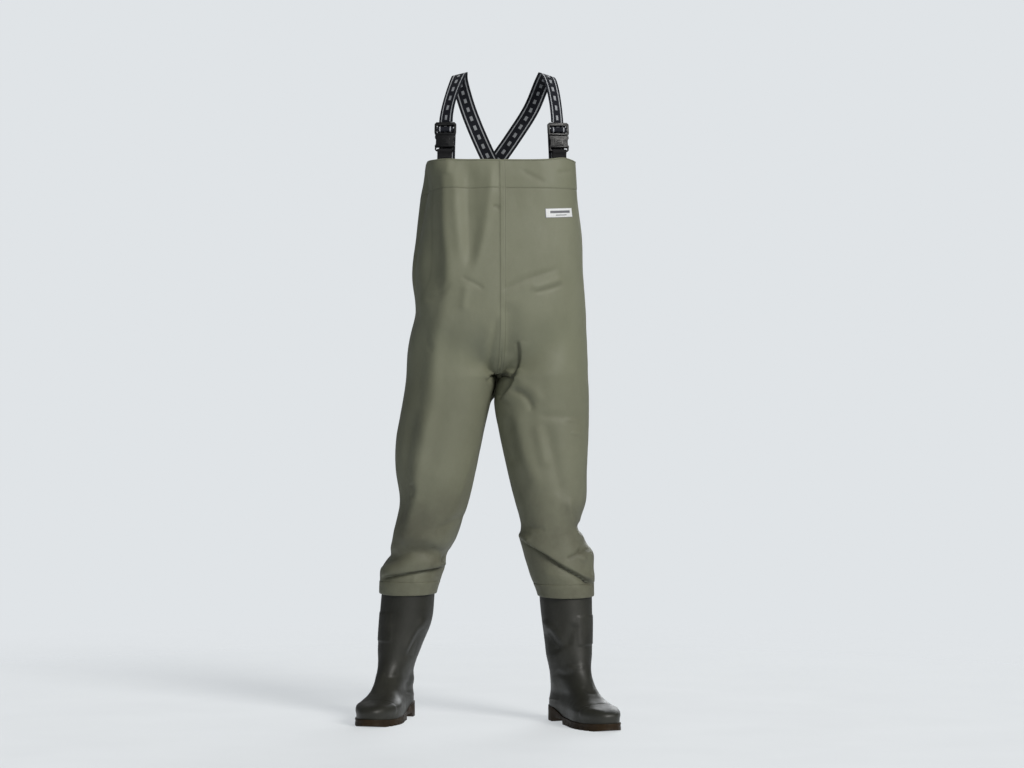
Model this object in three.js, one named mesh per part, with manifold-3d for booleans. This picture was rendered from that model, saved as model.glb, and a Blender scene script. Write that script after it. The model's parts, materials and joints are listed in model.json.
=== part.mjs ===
// Chest waders, standing as worn: a coated-fabric bib and legs welded to moulded boots, held up by
// elastic braces with side-release buckles.
// Units are millimetres. +Z is up, -Y is the front, and +X is the wearer's left.
import * as THREE from "three";
import { mergeVertices } from "three/addons/utils/BufferGeometryUtils.js";
import Module from "manifold-3d";

const wasm = await Module();
wasm.setup();

// ---------------------------------------------------------------- driving dimensions

const FABRIC = 2; // wall of the coated fabric, with its doubled seams averaged in
const TAPE = 1; // welded tapes and patches
const LIFT = 0.6; // clearance between a tape and the fabric it is welded to
const SEAM_GAP = 0.6; // between the two halves of the fabric along the centre seam
const SEAM_TAPE_WIDTH = 13;
const TAPE_STOPS_SHORT = 3; // rows above the crotch where the centre seam's tapes end
const COLUMNS = 24; // points round each half of the fabric

const CROTCH_Z = 803;
const FORK_HEIGHT = 150; // the centre seam leaves the trunk's outline this far above the crotch
const TRUNK_YAW = THREE.MathUtils.degToRad(5); // the chest faces a little to the wearer's left
const TRUNK_MID_X = -5;
const BIB_FRONT_Z = 1306;
const BIB_BACK_Z = 1180;
const BIB_CORNER_RISE = 9; // the buckles pull the bib up at its front corners
const FACING_WIDTH = 71; // the doubled band inside the bib's top edge
const HEM_Z = 293; // where the legs end, over the boots
const SHAFT_TOP_Z = 335; // where the boots end, inside the legs

// Outline of the trunk: height, wearer's right side, wearer's left side, front, back, and the
// exponent of the superellipse that is its section.
const TRUNK = [
  [1322, -168, 171, -112, 108, 4.2],
  [1265, -177, 174, -124, 122, 3.8],
  [1213, -186, 178, -132, 130, 3.3],
  [1130, -197, 189, -140, 136, 2.9],
  [1040, -205, 193, -145, 142, 2.7],
  [960, -195, 198, -144, 150, 2.7],
  [900, -207, 200, -138, 156, 2.7],
  [803, -221, 205, -122, 152, 2.7],
];

// Outline of each leg: height, inner side, outer side, front, back.
const LEGS = {
  left: [
    [803, -4, 205, -112, 128],
    [770, -10, 207, -110, 116],
    [740, -13, 208, -108, 108],
    [666, 0, 207, -106, 97],
    [591, 16, 203, -105, 86],
    [517, 35, 200, -103, 80],
    [461, 49, 186, -97, 78],
    [423, 46, 198, -92, 80],
    [386, 56, 216, -87, 84],
    [349, 68, 217, -81, 81],
    [312, 79, 218, -75, 72],
    [293, 84, 218, -72, 68],
  ],
  right: [
    [803, -6, -221, -106, 132],
    [770, -16, -226, -102, 126],
    [740, -23, -231, -98, 122],
    [666, -40, -245, -86, 122],
    [591, -56, -247, -74, 122],
    [517, -72, -240, -60, 127],
    [461, -91, -248, -42, 138],
    [423, -104, -253, -28, 148],
    [386, -124, -263, -10, 158],
    [349, -132, -281, 4, 164],
    [312, -146, -284, 14, 161],
    [293, -151, -284, 19, 157],
  ],
};
const LEG_SQUARENESS = 2.15;

// Heights of the rows of points down each half. Those of the chest are shares of the way from the
// bib's facing to the first row of the waist, because the bib's edge isn't level.
const CHEST_ROWS = [0.34, 0.68];
const TRUNK_ROWS = [1015, 953, 915, 880, 848, 822, 807];
const LEG_ROWS = [803, 772, 740, 700, 660, 610, 560, 510, 465, 425, 388, 352, 322, 293];
const HEM_TAPE_ROWS = [322, 293];

const BOOTS = {
  left: { ankle: [163, -4], toeOut: 25, lean: [-6, -8] },
  right: { ankle: [-246, 90], toeOut: 16, lean: [-5, -29] },
};

// Outline of the boot at each height: reach behind the ankle, reach in front, half width.
const BOOT_SECTIONS = [
  [8, 74, 219, 36],
  [18, 77, 224, 38],
  [32, 80, 225, 40],
  [40, 81, 221, 41],
  [46, 80, 208, 41],
  [51, 79, 184, 41],
  [57, 78, 156, 40],
  [66, 76, 132, 39],
  [78, 72, 112, 38],
  [92, 66, 95, 38],
  [112, 60, 81, 38],
  [134, 57, 72, 42],
  [160, 58, 69, 48],
  [205, 62, 66, 54],
  [270, 65, 64, 59],
  [335, 65, 64, 60],
];
const BOOT_WALL = 3.5;
const BOOT_POINTS = 30;
// Half width of the foot in plan, from heel to toe: distance in front of the ankle, half width.
const FOOT_PLAN = [
  [-80, 36],
  [-40, 38],
  [10, 36],
  [70, 43],
  [125, 52],
  [175, 52],
  [226, 46],
];
const INSTEP_TAPER = 0.2; // the foot is narrower over the instep than at its sole
const TOE_TURN = 7; // the toe swings inwards from the foot's centre line by this much
// Line between the boot and its sole: distance in front of the ankle, height.
const SOLE_LINE = [
  [-90, 35],
  [-22, 33],
  [42, 18],
  [170, 15],
  [240, 19],
];
const WELT = 3; // the sole stands out from the boot
const INSOLE_THICKNESS = 4;
const TOE_CAP = { from: 168, wall: 1.8 };

const BRACE_WIDTH = 38;
const BRACE_THICKNESS = 1.8;
const BRACE_JOIN = 3; // gap on the shoulder between the front and back lengths of a brace
const SHOULDER = { x: 101, y: 12, z: 1508 }; // where a brace passes over, from the shoulders' middle
const SHOULDER_SHIFT = 13; // the shoulders' middle is this far to the left of the trunk's
const CROSS = { y: 136, z: 1301 }; // where the braces cross behind
const WEBBING_THICKNESS = 1.2;
// From the fabric's outer face to a tab's middle.
const RING_TAB_BEHIND = FABRIC + 2 * LIFT + TAPE + 4;
const BUCKLE_TAB_BEHIND = RING_TAB_BEHIND + 6;
const TAB_WIDTH = 34;
// Places round the bib, 0 at the front seam and 1 at the back.
const BUCKLE_AT = { left: 0.202, right: 0.222 };
const BUCKLE_FORWARD = 0.55; // 0 where a buckle faces as the fabric does, 1 where it faces ahead
const BACK_RING_AT = 0.935;
const BACK_RING_TILT = THREE.MathUtils.degToRad(32); // the rings lie in line with the crossed braces
const LABEL = { at: 0.209, z: 1181, width: 72, height: 24 };

const SIDES = { left: 1, right: -1 };

const MATERIALS = {
  fabric: new THREE.MeshStandardMaterial({ color: 0x6f715c, roughness: 0.55 }),
  boot: new THREE.MeshStandardMaterial({ color: 0x2c2d27, roughness: 0.4 }),
  sole: new THREE.MeshStandardMaterial({ color: 0x2a1d10, roughness: 0.6 }),
  insole: new THREE.MeshStandardMaterial({ color: 0x8a8a84, roughness: 0.9 }),
  steel: new THREE.MeshStandardMaterial({ color: 0x9a9c9f, roughness: 0.35, metalness: 1 }),
  elastic: new THREE.MeshStandardMaterial({ color: 0x12131a, roughness: 0.85 }),
  webbing: new THREE.MeshStandardMaterial({ color: 0x0e0e10, roughness: 0.85 }),
  plastic: new THREE.MeshStandardMaterial({ color: 0x111214, roughness: 0.4 }),
  label: new THREE.MeshStandardMaterial({ color: 0xe6e6e4, roughness: 0.5 }),
};

// ---------------------------------------------------------------- interpolation

// Smooth values through rows of [place, value, value...], by cubic Hermite pieces.
function smoothTable(rows) {
  const sorted = [...rows].sort((a, b) => a[0] - b[0]);
  const slope = (i, k) => {
    const lo = sorted[Math.max(i - 1, 0)];
    const hi = sorted[Math.min(i + 1, sorted.length - 1)];
    return (hi[k] - lo[k]) / (hi[0] - lo[0]);
  };
  return (place) => {
    const p = THREE.MathUtils.clamp(place, sorted[0][0], sorted.at(-1)[0]);
    const i = Math.min(Math.max(sorted.findIndex((r) => r[0] >= p) - 1, 0), sorted.length - 2);
    const [a, b] = [sorted[i], sorted[i + 1]];
    const h = b[0] - a[0];
    const u = (p - a[0]) / h;
    const startWeight = 2 * u ** 3 - 3 * u ** 2 + 1;
    return a.slice(1).map((value, n) => {
      const k = n + 1;
      return (
        startWeight * value +
        (1 - startWeight) * b[k] +
        (u ** 3 - 2 * u ** 2 + u) * h * slope(i, k) +
        (u ** 3 - u ** 2) * h * slope(i + 1, k)
      );
    });
  };
}

// Straight-line values through rows of [place, value].
function straightTable(rows) {
  return (place) => {
    const i = rows.findIndex((r) => r[0] >= place);
    if (i < 1) return i === 0 ? rows[0][1] : rows.at(-1)[1];
    const [a, b] = [rows[i - 1], rows[i]];
    return THREE.MathUtils.mapLinear(place, a[0], b[0], a[1], b[1]);
  };
}

// Point of a superellipse with half sizes a and b, at an angle in radians.
function superellipse(a, b, angle, exponent) {
  const power = (v) => Math.sign(v) * Math.abs(v) ** (2 / exponent);
  return [a * power(Math.cos(angle)), b * power(Math.sin(angle))];
}

// ---------------------------------------------------------------- the fabric's form

const trunkAt = smoothTable(TRUNK);
const legAt = { left: smoothTable(LEGS.left), right: smoothTable(LEGS.right) };

// Share of the section that is leg rather than trunk. It changes evenly at the sides, and near the
// centre seam late and fast, so that the seam runs round a U.
function legShare(z, t) {
  const rise = THREE.MathUtils.clamp((z - CROTCH_Z) / FORK_HEIGHT, 0, 1);
  const atSides = 1 - THREE.MathUtils.smoothstep(rise, 0, 1);
  const atSeam = 1 - Math.sqrt(1 - (1 - rise) ** 2);
  return THREE.MathUtils.lerp(atSides, atSeam, Math.cos(Math.PI * t) ** 4);
}

// Point on one half of the trunk at share t of the way from the front seam to the back seam.
function trunkPoint(side, z, t, inset) {
  const sign = SIDES[side];
  const [right, left, front, back, squareness] = trunkAt(z);
  const reach = Math.abs((side === "left" ? left : right) - TRUNK_MID_X) - SEAM_GAP / 2 - inset;
  const depth = (back - front) / 2 - inset;
  const [x, y] = superellipse(reach, depth, Math.PI * (t - 0.5), squareness);
  const p = new THREE.Vector2(sign * (x + SEAM_GAP / 2), y);
  return p.rotateAround(new THREE.Vector2(), TRUNK_YAW).add(
    new THREE.Vector2(TRUNK_MID_X, (front + back) / 2),
  );
}

// Point on a leg, from the inner side round the front, outer side and back to the inner side.
function legPoint(side, z, t, inset) {
  const sign = SIDES[side];
  const [inner, outer, front, back] = legAt[side](z);
  const angle = Math.PI * (2 * t - 1);
  const width = Math.abs(outer - inner) / 2 - inset;
  const [x, y] = superellipse(width, (back - front) / 2 - inset, angle, LEG_SQUARENESS);
  return new THREE.Vector2((inner + outer) / 2 + sign * x, (front + back) / 2 + y);
}

// Height of the bib's top edge, t of the way round from the front seam to the back seam.
function bibEdge(t) {
  const drop = THREE.MathUtils.smoothstep(t, 0.42, 0.86);
  const corner = Math.exp(-(((t - BUCKLE_AT.right) / 0.1) ** 2));
  return THREE.MathUtils.lerp(BIB_FRONT_Z, BIB_BACK_Z, drop) + BIB_CORNER_RISE * corner;
}

// Point on the fabric, inset from its outer face.
function fabricPoint(side, z, t, inset = 0) {
  const p = legPoint(side, Math.min(z, CROTCH_Z), t, inset);
  if (z > CROTCH_Z) p.lerp(trunkPoint(side, z, t, inset), 1 - legShare(z, t));
  return new THREE.Vector3(p.x, p.y, z);
}

// Direction out of the fabric.
function fabricNormal(side, z, t) {
  const step = 0.01;
  const along = fabricPoint(side, z, t + step).sub(fabricPoint(side, z, t - step));
  const down = fabricPoint(side, z - 4, t).sub(fabricPoint(side, z + 4, t));
  return along.cross(down).multiplyScalar(-SIDES[side]).normalize();
}

// Heights of one column of the fabric's grid, from the bib's edge to the hem.
function columnHeights(t) {
  const edge = bibEdge(t);
  const facingEnd = edge - FACING_WIDTH;
  const chest = CHEST_ROWS.map((share) => THREE.MathUtils.lerp(facingEnd, TRUNK_ROWS[0], share));
  return [edge, edge - FACING_WIDTH / 2, facingEnd, ...chest, ...TRUNK_ROWS, ...LEG_ROWS];
}
const FACING_LAST_ROW = 2;
const FIRST_LEG_ROW = FACING_LAST_ROW + 1 + CHEST_ROWS.length + TRUNK_ROWS.length;
const rowOfHeight = (z) => FIRST_LEG_ROW + LEG_ROWS.indexOf(z);

// Grid of points [row][column] on the fabric. Rows above the crotch run from seam to seam, and
// those below close on themselves, so their points are spaced to leave room for the closing face.
function fabricGrid(side, inset) {
  const rows = columnHeights(0).length;
  return Array.from({ length: rows }, (_, row) =>
    Array.from({ length: COLUMNS }, (_, column) => {
      const t = row < FIRST_LEG_ROW ? column / (COLUMNS - 1) : (column + 0.5) / COLUMNS;
      return fabricPoint(side, columnHeights(t)[row], t, inset);
    }),
  );
}

// ---------------------------------------------------------------- closed solids from points

function geometryOf(points, triangles) {
  const geometry = new THREE.BufferGeometry().setFromPoints(points).setIndex(triangles.flat());
  return volumeOf(geometry) < 0 ? turnedOut(geometry) : geometry;
}

function volumeOf(geometry) {
  const [position, index] = [geometry.getAttribute("position"), geometry.index];
  const corner = (i) => new THREE.Vector3().fromBufferAttribute(position, index.getX(i));
  let six = 0;
  for (let i = 0; i < index.count; i += 3) six += corner(i).dot(corner(i + 1).cross(corner(i + 2)));
  return six / 6;
}

function turnedOut(geometry) {
  const index = geometry.index.array;
  for (let i = 0; i < index.length; i += 3) [index[i + 1], index[i + 2]] = [index[i + 2], index[i + 1]];
  return geometry;
}

// A sheet with thickness between two grids of points. From row wrapFrom on, its columns close
// into a tube, so above that row it has rims down both sides.
function thickSheet(outer, inner, wrapFrom = Infinity) {
  const [rows, columns] = [outer.length, outer[0].length];
  const front = (r, c) => r * columns + (c % columns);
  const back = (r, c) => rows * columns + front(r, c);
  const triangles = [];
  const quad = (a, b, c, d) => triangles.push([a, b, c], [a, c, d]);
  for (let r = 0; r < rows - 1; r++) {
    const last = r >= wrapFrom ? columns : columns - 1;
    for (let c = 0; c < last; c++) {
      quad(front(r, c), front(r, c + 1), front(r + 1, c + 1), front(r + 1, c));
      quad(back(r, c), back(r + 1, c), back(r + 1, c + 1), back(r, c + 1));
    }
    if (r < wrapFrom) {
      quad(front(r, 0), front(r + 1, 0), back(r + 1, 0), back(r, 0));
      quad(front(r, last), back(r, last), back(r + 1, last), front(r + 1, last));
    }
  }
  const rim = (r, c, turn) =>
    turn
      ? quad(front(r, c + 1), front(r, c), back(r, c), back(r, c + 1))
      : quad(front(r, c), front(r, c + 1), back(r, c + 1), back(r, c));
  for (let c = 0; c < columns - 1 + (wrapFrom <= 0); c++) rim(0, c, true);
  for (let c = 0; c < columns - 1 + (wrapFrom < rows - 1); c++) rim(rows - 1, c, false);
  if (wrapFrom > 0 && wrapFrom < rows - 1) rim(wrapFrom, columns - 1, true);
  return geometryOf([...outer.flat(), ...inner.flat()], triangles);
}

// A solid through closed rings of points, with a flat face at each end.
function loft(rings) {
  const [rows, columns] = [rings.length, rings[0].length];
  const at = (r, c) => r * columns + (c % columns);
  const middle = (ring) => ring.reduce((sum, p) => sum.add(p), new THREE.Vector3()).divideScalar(columns);
  const [start, end] = [rows * columns, rows * columns + 1];
  const triangles = [];
  for (let c = 0; c < columns; c++) {
    for (let r = 0; r < rows - 1; r++)
      triangles.push([at(r, c), at(r, c + 1), at(r + 1, c + 1)], [at(r, c), at(r + 1, c + 1), at(r + 1, c)]);
    triangles.push([at(0, c + 1), at(0, c), start], [at(rows - 1, c), at(rows - 1, c + 1), end]);
  }
  return geometryOf([...rings.flat(), middle(rings[0]), middle(rings.at(-1))], triangles);
}

function toManifold(geometry) {
  const bare = geometry.clone();
  for (const name of Object.keys(bare.attributes)) if (name !== "position") bare.deleteAttribute(name);
  const merged = mergeVertices(bare, 1e-3);
  return new wasm.Manifold(
    new wasm.Mesh({
      numProp: 3,
      vertProperties: merged.getAttribute("position").array,
      triVerts: new Uint32Array(merged.index.array),
    }),
  );
}

function fromManifold(solid) {
  const mesh = solid.getMesh();
  return new THREE.BufferGeometry()
    .setAttribute("position", new THREE.BufferAttribute(mesh.vertProperties, 3))
    .setIndex(new THREE.BufferAttribute(mesh.triVerts, 1));
}

// The plan shape through [x, y] points, raised from z = low to z = high.
function raised(points, low, high) {
  const shape = new THREE.Shape(points.map(([x, y]) => new THREE.Vector2(x, y)));
  return new THREE.ExtrudeGeometry(shape, { depth: high - low, bevelEnabled: false }).translate(0, 0, low);
}

// The side view through [x, z] points, spread from y = -half to y = +half.
function spread(points, half) {
  return raised(points, -half, half).rotateX(Math.PI / 2);
}

// The end view through [y, z] points, spread from x = -half to x = +half.
function spreadAcross(points, half) {
  return raised(points, -half, half).rotateY(Math.PI / 2).rotateX(Math.PI / 2);
}

function block(x0, x1, y0, y1, z0, z1) {
  return new THREE.BoxGeometry(x1 - x0, y1 - y0, z1 - z0).translate(
    (x0 + x1) / 2,
    (y0 + y1) / 2,
    (z0 + z1) / 2,
  );
}

function mesh(name, geometry, material) {
  const made = new THREE.Mesh(geometry, MATERIALS[material]);
  made.name = name;
  return made;
}

// ---------------------------------------------------------------- fabric, tapes and patches

function fabricHalf(side) {
  const geometry = thickSheet(fabricGrid(side, 0), fabricGrid(side, FABRIC), FIRST_LEG_ROW);
  return mesh(`${side}_fabric_half`, geometry, "fabric");
}

// A tape over part of a grid, lifted clear of it along the fabric's normals.
function tapeOver(points, normals, lift = LIFT, thickness = TAPE) {
  const raise = (by) => points.map((row, r) => row.map((p, c) => p.clone().addScaledVector(normals[r][c], by)));
  return [raise(lift + thickness), raise(lift)];
}

// The facing doubles the bib's top edge on the inside.
function bibFacing(side) {
  const rowsAt = (inset) => fabricGrid(side, inset).slice(0, FACING_LAST_ROW + 1);
  const clear = FABRIC + LIFT;
  return mesh(`${side}_bib_facing`, thickSheet(rowsAt(clear), rowsAt(clear + TAPE)), "fabric");
}

// A tape down the centre seam, from the bib's edge to the fork, at the front or the back.
function centreSeamTape(name, t) {
  const rows = columnHeights(t).slice(0, FIRST_LEG_ROW - TAPE_STOPS_SHORT);
  const next = t + (t === 0 ? 1 : -1) / (COLUMNS - 1);
  const points = rows.map((z) => {
    const [right, left] = ["right", "left"].map((side) => {
      const seam = fabricPoint(side, z, t);
      const beyond = fabricPoint(side, z, next);
      return { seam, edge: seam.clone().lerp(beyond, SEAM_TAPE_WIDTH / 2 / seam.distanceTo(beyond)) };
    });
    return [right.edge, right.seam.lerp(left.seam, 0.5), left.edge];
  });
  const normals = rows.map((z) => {
    const [right, left] = ["right", "left"].map((side) => fabricNormal(side, z, (t + next) / 2));
    const middle = right.clone().add(left).normalize();
    return [right, middle.multiplyScalar(1 / middle.dot(left)), left];
  });
  return mesh(name, thickSheet(...tapeOver(points, normals)), "fabric");
}

// A tape down a leg's inner seam, from the crotch to the hem's tape.
function innerSeamTape(side) {
  const rows = LEG_ROWS.slice(1, LEG_ROWS.indexOf(HEM_TAPE_ROWS[0]));
  const first = 0.5 / COLUMNS;
  const points = rows.map((z) => {
    const [a, b] = [fabricPoint(side, z, first), fabricPoint(side, z, 1 - first)];
    const middle = a.clone().lerp(b, 0.5);
    const reach = SEAM_TAPE_WIDTH / 2 / middle.distanceTo(b);
    return [middle.clone().lerp(a, reach), middle, middle.clone().lerp(b, reach)];
  });
  const inward = new THREE.Vector3(-SIDES[side], 0, 0);
  const normals = points.map((row) => row.map(() => inward));
  return mesh(`${side}_inner_seam_tape`, thickSheet(...tapeOver(points, normals)), "fabric");
}

// The tape that closes the leg's lower edge onto the boot.
function hemTape(side) {
  const ringsAt = (inset) =>
    fabricGrid(side, inset).slice(rowOfHeight(HEM_TAPE_ROWS[0]), rowOfHeight(HEM_TAPE_ROWS[1]) + 1);
  return mesh(`${side}_hem_tape`, thickSheet(ringsAt(-LIFT - TAPE), ringsAt(-LIFT), 0), "fabric");
}

function chestLabel() {
  const place = LABEL.width / 1000; // share of the way round that the label spans
  const [columns, rows] = [7, 3];
  const grid = (inset) =>
    Array.from({ length: rows }, (_, r) =>
      Array.from({ length: columns }, (_, c) => {
        const t = LABEL.at + (c / (columns - 1) - 0.5) * place * 1.9;
        return fabricPoint("left", LABEL.z + LABEL.height * (0.5 - r / (rows - 1)), t, inset);
      }),
    );
  return mesh("chest_label", thickSheet(grid(-LIFT - TAPE), grid(-LIFT)), "label");
}

// ---------------------------------------------------------------- boots

// In a boot's own frame +X runs from ankle to toe, +Z is up and the origin is under the ankle.
const bootSectionAt = smoothTable(BOOT_SECTIONS);
const footHalfWidth = smoothTable(FOOT_PLAN);
const soleLine = straightTable(SOLE_LINE);

function bootRing(side, z, inset, height = z) {
  const [behind, ahead, half] = bootSectionAt(z);
  const { lean } = BOOTS[side];
  const tilt = Math.max(height - 100, 0) / (HEM_Z - 100);
  const shaft = THREE.MathUtils.smoothstep(z, 62, 118); // 0 in the foot, 1 in the shaft
  const middle = (ahead - behind) / 2;
  const length = (ahead + behind) / 2 - inset;
  return Array.from({ length: BOOT_POINTS }, (_, i) => {
    const angle = (2 * Math.PI * i) / BOOT_POINTS;
    const squareness = THREE.MathUtils.lerp(2.7, 2.05, shaft);
    const [x, across] = superellipse(length, 1, angle, squareness);
    const taper = 1 - INSTEP_TAPER * THREE.MathUtils.smoothstep(z, 38, 75);
    const width = THREE.MathUtils.lerp(footHalfWidth(middle + x) * taper, half, shaft) - inset;
    const turn = THREE.MathUtils.smoothstep(middle + x, 40, 220) * TOE_TURN * (1 - shaft);
    const y = across * width - SIDES[side] * turn;
    return new THREE.Vector3(middle + x + lean[0] * tilt, y + SIDES[side] * lean[1] * tilt, height);
  });
}

// The boot's form, inset from its outer face, from under the sole line to the shaft's top.
function bootForm(side, inset, top = SHAFT_TOP_Z) {
  const heights = BOOT_SECTIONS.map(([z]) => z);
  heights[heights.length - 1] = SHAFT_TOP_Z;
  const rings = heights.map((z) => bootRing(side, z, inset));
  if (top > SHAFT_TOP_Z) rings.push(bootRing(side, SHAFT_TOP_Z, inset, top));
  return toManifold(loft(rings));
}

// Everything above the sole line, raised by an amount, as a solid.
function aboveSoleLine(by, until = 400) {
  const line = SOLE_LINE.map(([x, z]) => [x, z + by]);
  const lid = SOLE_LINE.toReversed().map(([x]) => [x, until]);
  return toManifold(spread([...line, ...lid], 120));
}

// The layer that lies between two heights above the sole line.
function layerOverSole(low, high) {
  const under = SOLE_LINE.map(([x, z]) => [x, z + low]);
  const over = SOLE_LINE.map(([x, z]) => [x, z + high]).toReversed();
  return toManifold(spread([...under, ...over], 120));
}

function bootUpper(side) {
  const outside = bootForm(side, 0).intersect(aboveSoleLine(0.3));
  const inside = bootForm(side, BOOT_WALL, SHAFT_TOP_Z + 10).intersect(aboveSoleLine(BOOT_WALL + 1));
  return mesh(`${side}_boot`, fromManifold(outside.subtract(inside)), "boot");
}

function insole(side) {
  const low = BOOT_WALL + 1.3;
  const form = bootForm(side, BOOT_WALL + 0.5).intersect(layerOverSole(low, low + INSOLE_THICKNESS));
  return mesh(`${side}_insole`, fromManifold(form), "insole");
}

function toeCap(side) {
  const outer = bootForm(side, BOOT_WALL + 0.4);
  const inner = bootForm(side, BOOT_WALL + 0.4 + TOE_CAP.wall);
  const place = toManifold(block(TOE_CAP.from, 240, -80, 80, 0, 120));
  const aboveInsole = aboveSoleLine(BOOT_WALL + 1.3 + INSOLE_THICKNESS + 0.4);
  const shell = outer.subtract(inner).intersect(place).intersect(aboveInsole);
  return mesh(`${side}_toe_cap`, fromManifold(shell), "steel");
}

// Side view of the outsole: a heel block, a raised arch and a lugged forefoot.
function outsoleProfile() {
  const tread = 5;
  const arch = 11;
  const lugs = (from, to, count) => {
    const pitch = (to - from) / count;
    return Array.from({ length: count }, (_, i) => [
      [from + i * pitch, 0],
      [from + i * pitch + pitch * 0.66, 0],
      [from + i * pitch + pitch * 0.74, tread],
      [from + (i + 1) * pitch - pitch * 0.04, tread],
    ]).flat();
  };
  const heel = lugs(-84, -16, 4).slice(0, -2);
  const forefoot = lugs(48, 212, 9).slice(0, -2);
  const toe = [
    [224, 3],
    [236, 10],
    [240, 14],
  ];
  const top = SOLE_LINE.map(([x, z]) => [x, z - 0.3]).toReversed();
  return [...heel, [-8, arch], [40, arch], ...forefoot, ...toe, ...top];
}

function outsole(side) {
  const plan = bootRing(side, 32, -WELT).map((p) => [p.x, p.y]);
  const outline = toManifold(raised(plan, -1, 60));
  const groove = toManifold(block(52, 190, -3, 3, -1, 4.5));
  const form = toManifold(spread(outsoleProfile(), 120)).intersect(outline).subtract(groove);
  return mesh(`${side}_outsole`, fromManifold(form), "sole");
}

function boot(side) {
  const { ankle, toeOut } = BOOTS[side];
  const group = new THREE.Group();
  group.position.set(ankle[0], ankle[1], 0);
  group.rotation.z = -Math.PI / 2 + SIDES[side] * THREE.MathUtils.degToRad(toeOut);
  group.add(bootUpper(side), insole(side), toeCap(side), outsole(side));
  return group;
}

// ---------------------------------------------------------------- webbing and hardware

// A strip of webbing whose edge follows [y, z] points, spread across x.
function webbingStrip(path, thickness, width) {
  const points = path.map(([y, z]) => new THREE.Vector2(y, z));
  const offset = (sign) =>
    points.map((p, i) => {
      const before = points[Math.max(i - 1, 0)];
      const after = points[Math.min(i + 1, points.length - 1)];
      const [a, b] = [p.clone().sub(before).normalize(), after.clone().sub(p).normalize()];
      const along = a.clone().add(b).normalize();
      const stretch = 1 / Math.max(Math.sqrt((1 + a.dot(b)) / 2), 0.6);
      const scale = i === 0 || i === points.length - 1 ? 1 : stretch;
      const out = new THREE.Vector2(-along.y, along.x).multiplyScalar((sign * scale * thickness) / 2);
      return out.add(p).toArray();
    });
  return spreadAcross([...offset(1), ...offset(-1).reverse()], width / 2);
}

// Webbing folded over a bar, with both ends running down together. The bar is centred on the
// origin and is depth deep and height high.
function foldOverBar(depth, height, length) {
  const [y, z] = [depth / 2 + 1.1, height / 2 + 1.1];
  const pinch = 0.4 + WEBBING_THICKNESS / 2;
  const half = [
    [y - 1.1, z],
    [y, z - 1.1],
    [y, -z],
    [pinch, -z - 6],
    [pinch, -length],
  ];
  return [...half.toReversed(), ...half.map(([a, b]) => [-a, b])];
}

// In a buckle's own frame +Z runs up the brace, -Y is the front and the origin is at the foot of
// the housing.
const BUCKLE = {
  halfWidth: 23,
  halfDepth: 5.5,
  mouth: 36,
  cavityHalfWidth: 19.5,
  cavityHalfDepth: 3.2,
  barHeight: 3.5,
  slotTop: 8.5,
  clipTop: 68,
  clipHalfWidth: 25,
  clipHalfDepth: 3.2,
};

function buckleHousing(side) {
  const b = BUCKLE;
  const half = [
    [0, 0],
    [20, 0],
    [b.halfWidth, 3],
    [b.halfWidth, 12],
    [20.6, 16],
    [20.6, 26],
    [b.halfWidth, 30],
    [b.halfWidth, b.mouth],
    [0, b.mouth],
  ];
  const outline = [...half, ...half.slice(1, -1).toReversed().map(([x, z]) => [-x, z])];
  const inCavity = b.cavityHalfDepth;
  const cuts = [
    block(-b.cavityHalfWidth, b.cavityHalfWidth, -inCavity, inCavity, 11, b.mouth + 1),
    block(-30, 30, -inCavity, inCavity, 14.5, 28),
    block(-20, 20, -10, 10, b.barHeight, b.slotTop),
    block(-30, 30, -10, -3, -1, 9.5),
    block(-30, 30, 3, 10, -1, 9.5),
  ];
  const solid = cuts.reduce((s, cut) => s.subtract(toManifold(cut)), toManifold(spread(outline, b.halfDepth)));
  return mesh(`${side}_buckle_housing`, fromManifold(solid), "plastic");
}

// The half that carries the brace: a two-slot adjuster with a guide tongue below it.
function buckleClip(side) {
  const b = BUCKLE;
  const foot = b.mouth + 0.5;
  const [w, top] = [b.clipHalfWidth, b.clipTop];
  const half = [
    [0, foot],
    [21, foot],
    [w - 1, foot + 3],
    [w, foot + 8],
    [w, top - 4],
    [w - 4, top],
    [0, top],
  ];
  const outline = [...half, ...half.slice(1, -1).toReversed().map(([x, z]) => [-x, z])];
  const tongue = toManifold(block(-4, 4, -2, 2, 12.5, foot + 1));
  const frame = toManifold(spread(outline, b.clipHalfDepth));
  const slots = [block(-20, 20, -9, 9, 43, 49.5), block(-20, 20, -9, 9, 53, 60.5)];
  const solid = slots.reduce((s, slot) => s.subtract(toManifold(slot)), frame).add(tongue);
  return mesh(`${side}_buckle_clip`, fromManifold(solid), "plastic");
}

// One of the clip's two springy arms, whose pad shows in the housing's side window.
function clipArm(side, where) {
  const toward = where === "outer" ? SIDES[side] : -SIDES[side];
  const outline = [
    [12.5, 35.9],
    [13, 27],
    [13.5, 13],
    [16.5, 13],
    [19.1, 16.5],
    [19.1, 27],
    [16.5, 31],
    [16.5, 35.9],
  ].map(([x, z]) => [toward * x, z]);
  return mesh(`${side}_clip_arm_${where}`, spread(outline, 2.8), "plastic");
}

// The brace where it weaves through the adjuster: behind the top bar, over the middle bar and
// back behind the foot.
function adjusterLoop(side) {
  const behind = BUCKLE.clipHalfDepth + 0.5 + BRACE_THICKNESS / 2;
  const path = [
    [behind, 69.4],
    [behind, 58.3],
    [-behind, 55.2],
    [-behind, 47.8],
    [behind, 44.7],
    [behind, 39],
  ];
  return mesh(`${side}_adjuster_loop`, webbingStrip(path, BRACE_THICKNESS, BRACE_WIDTH), "elastic");
}

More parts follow.
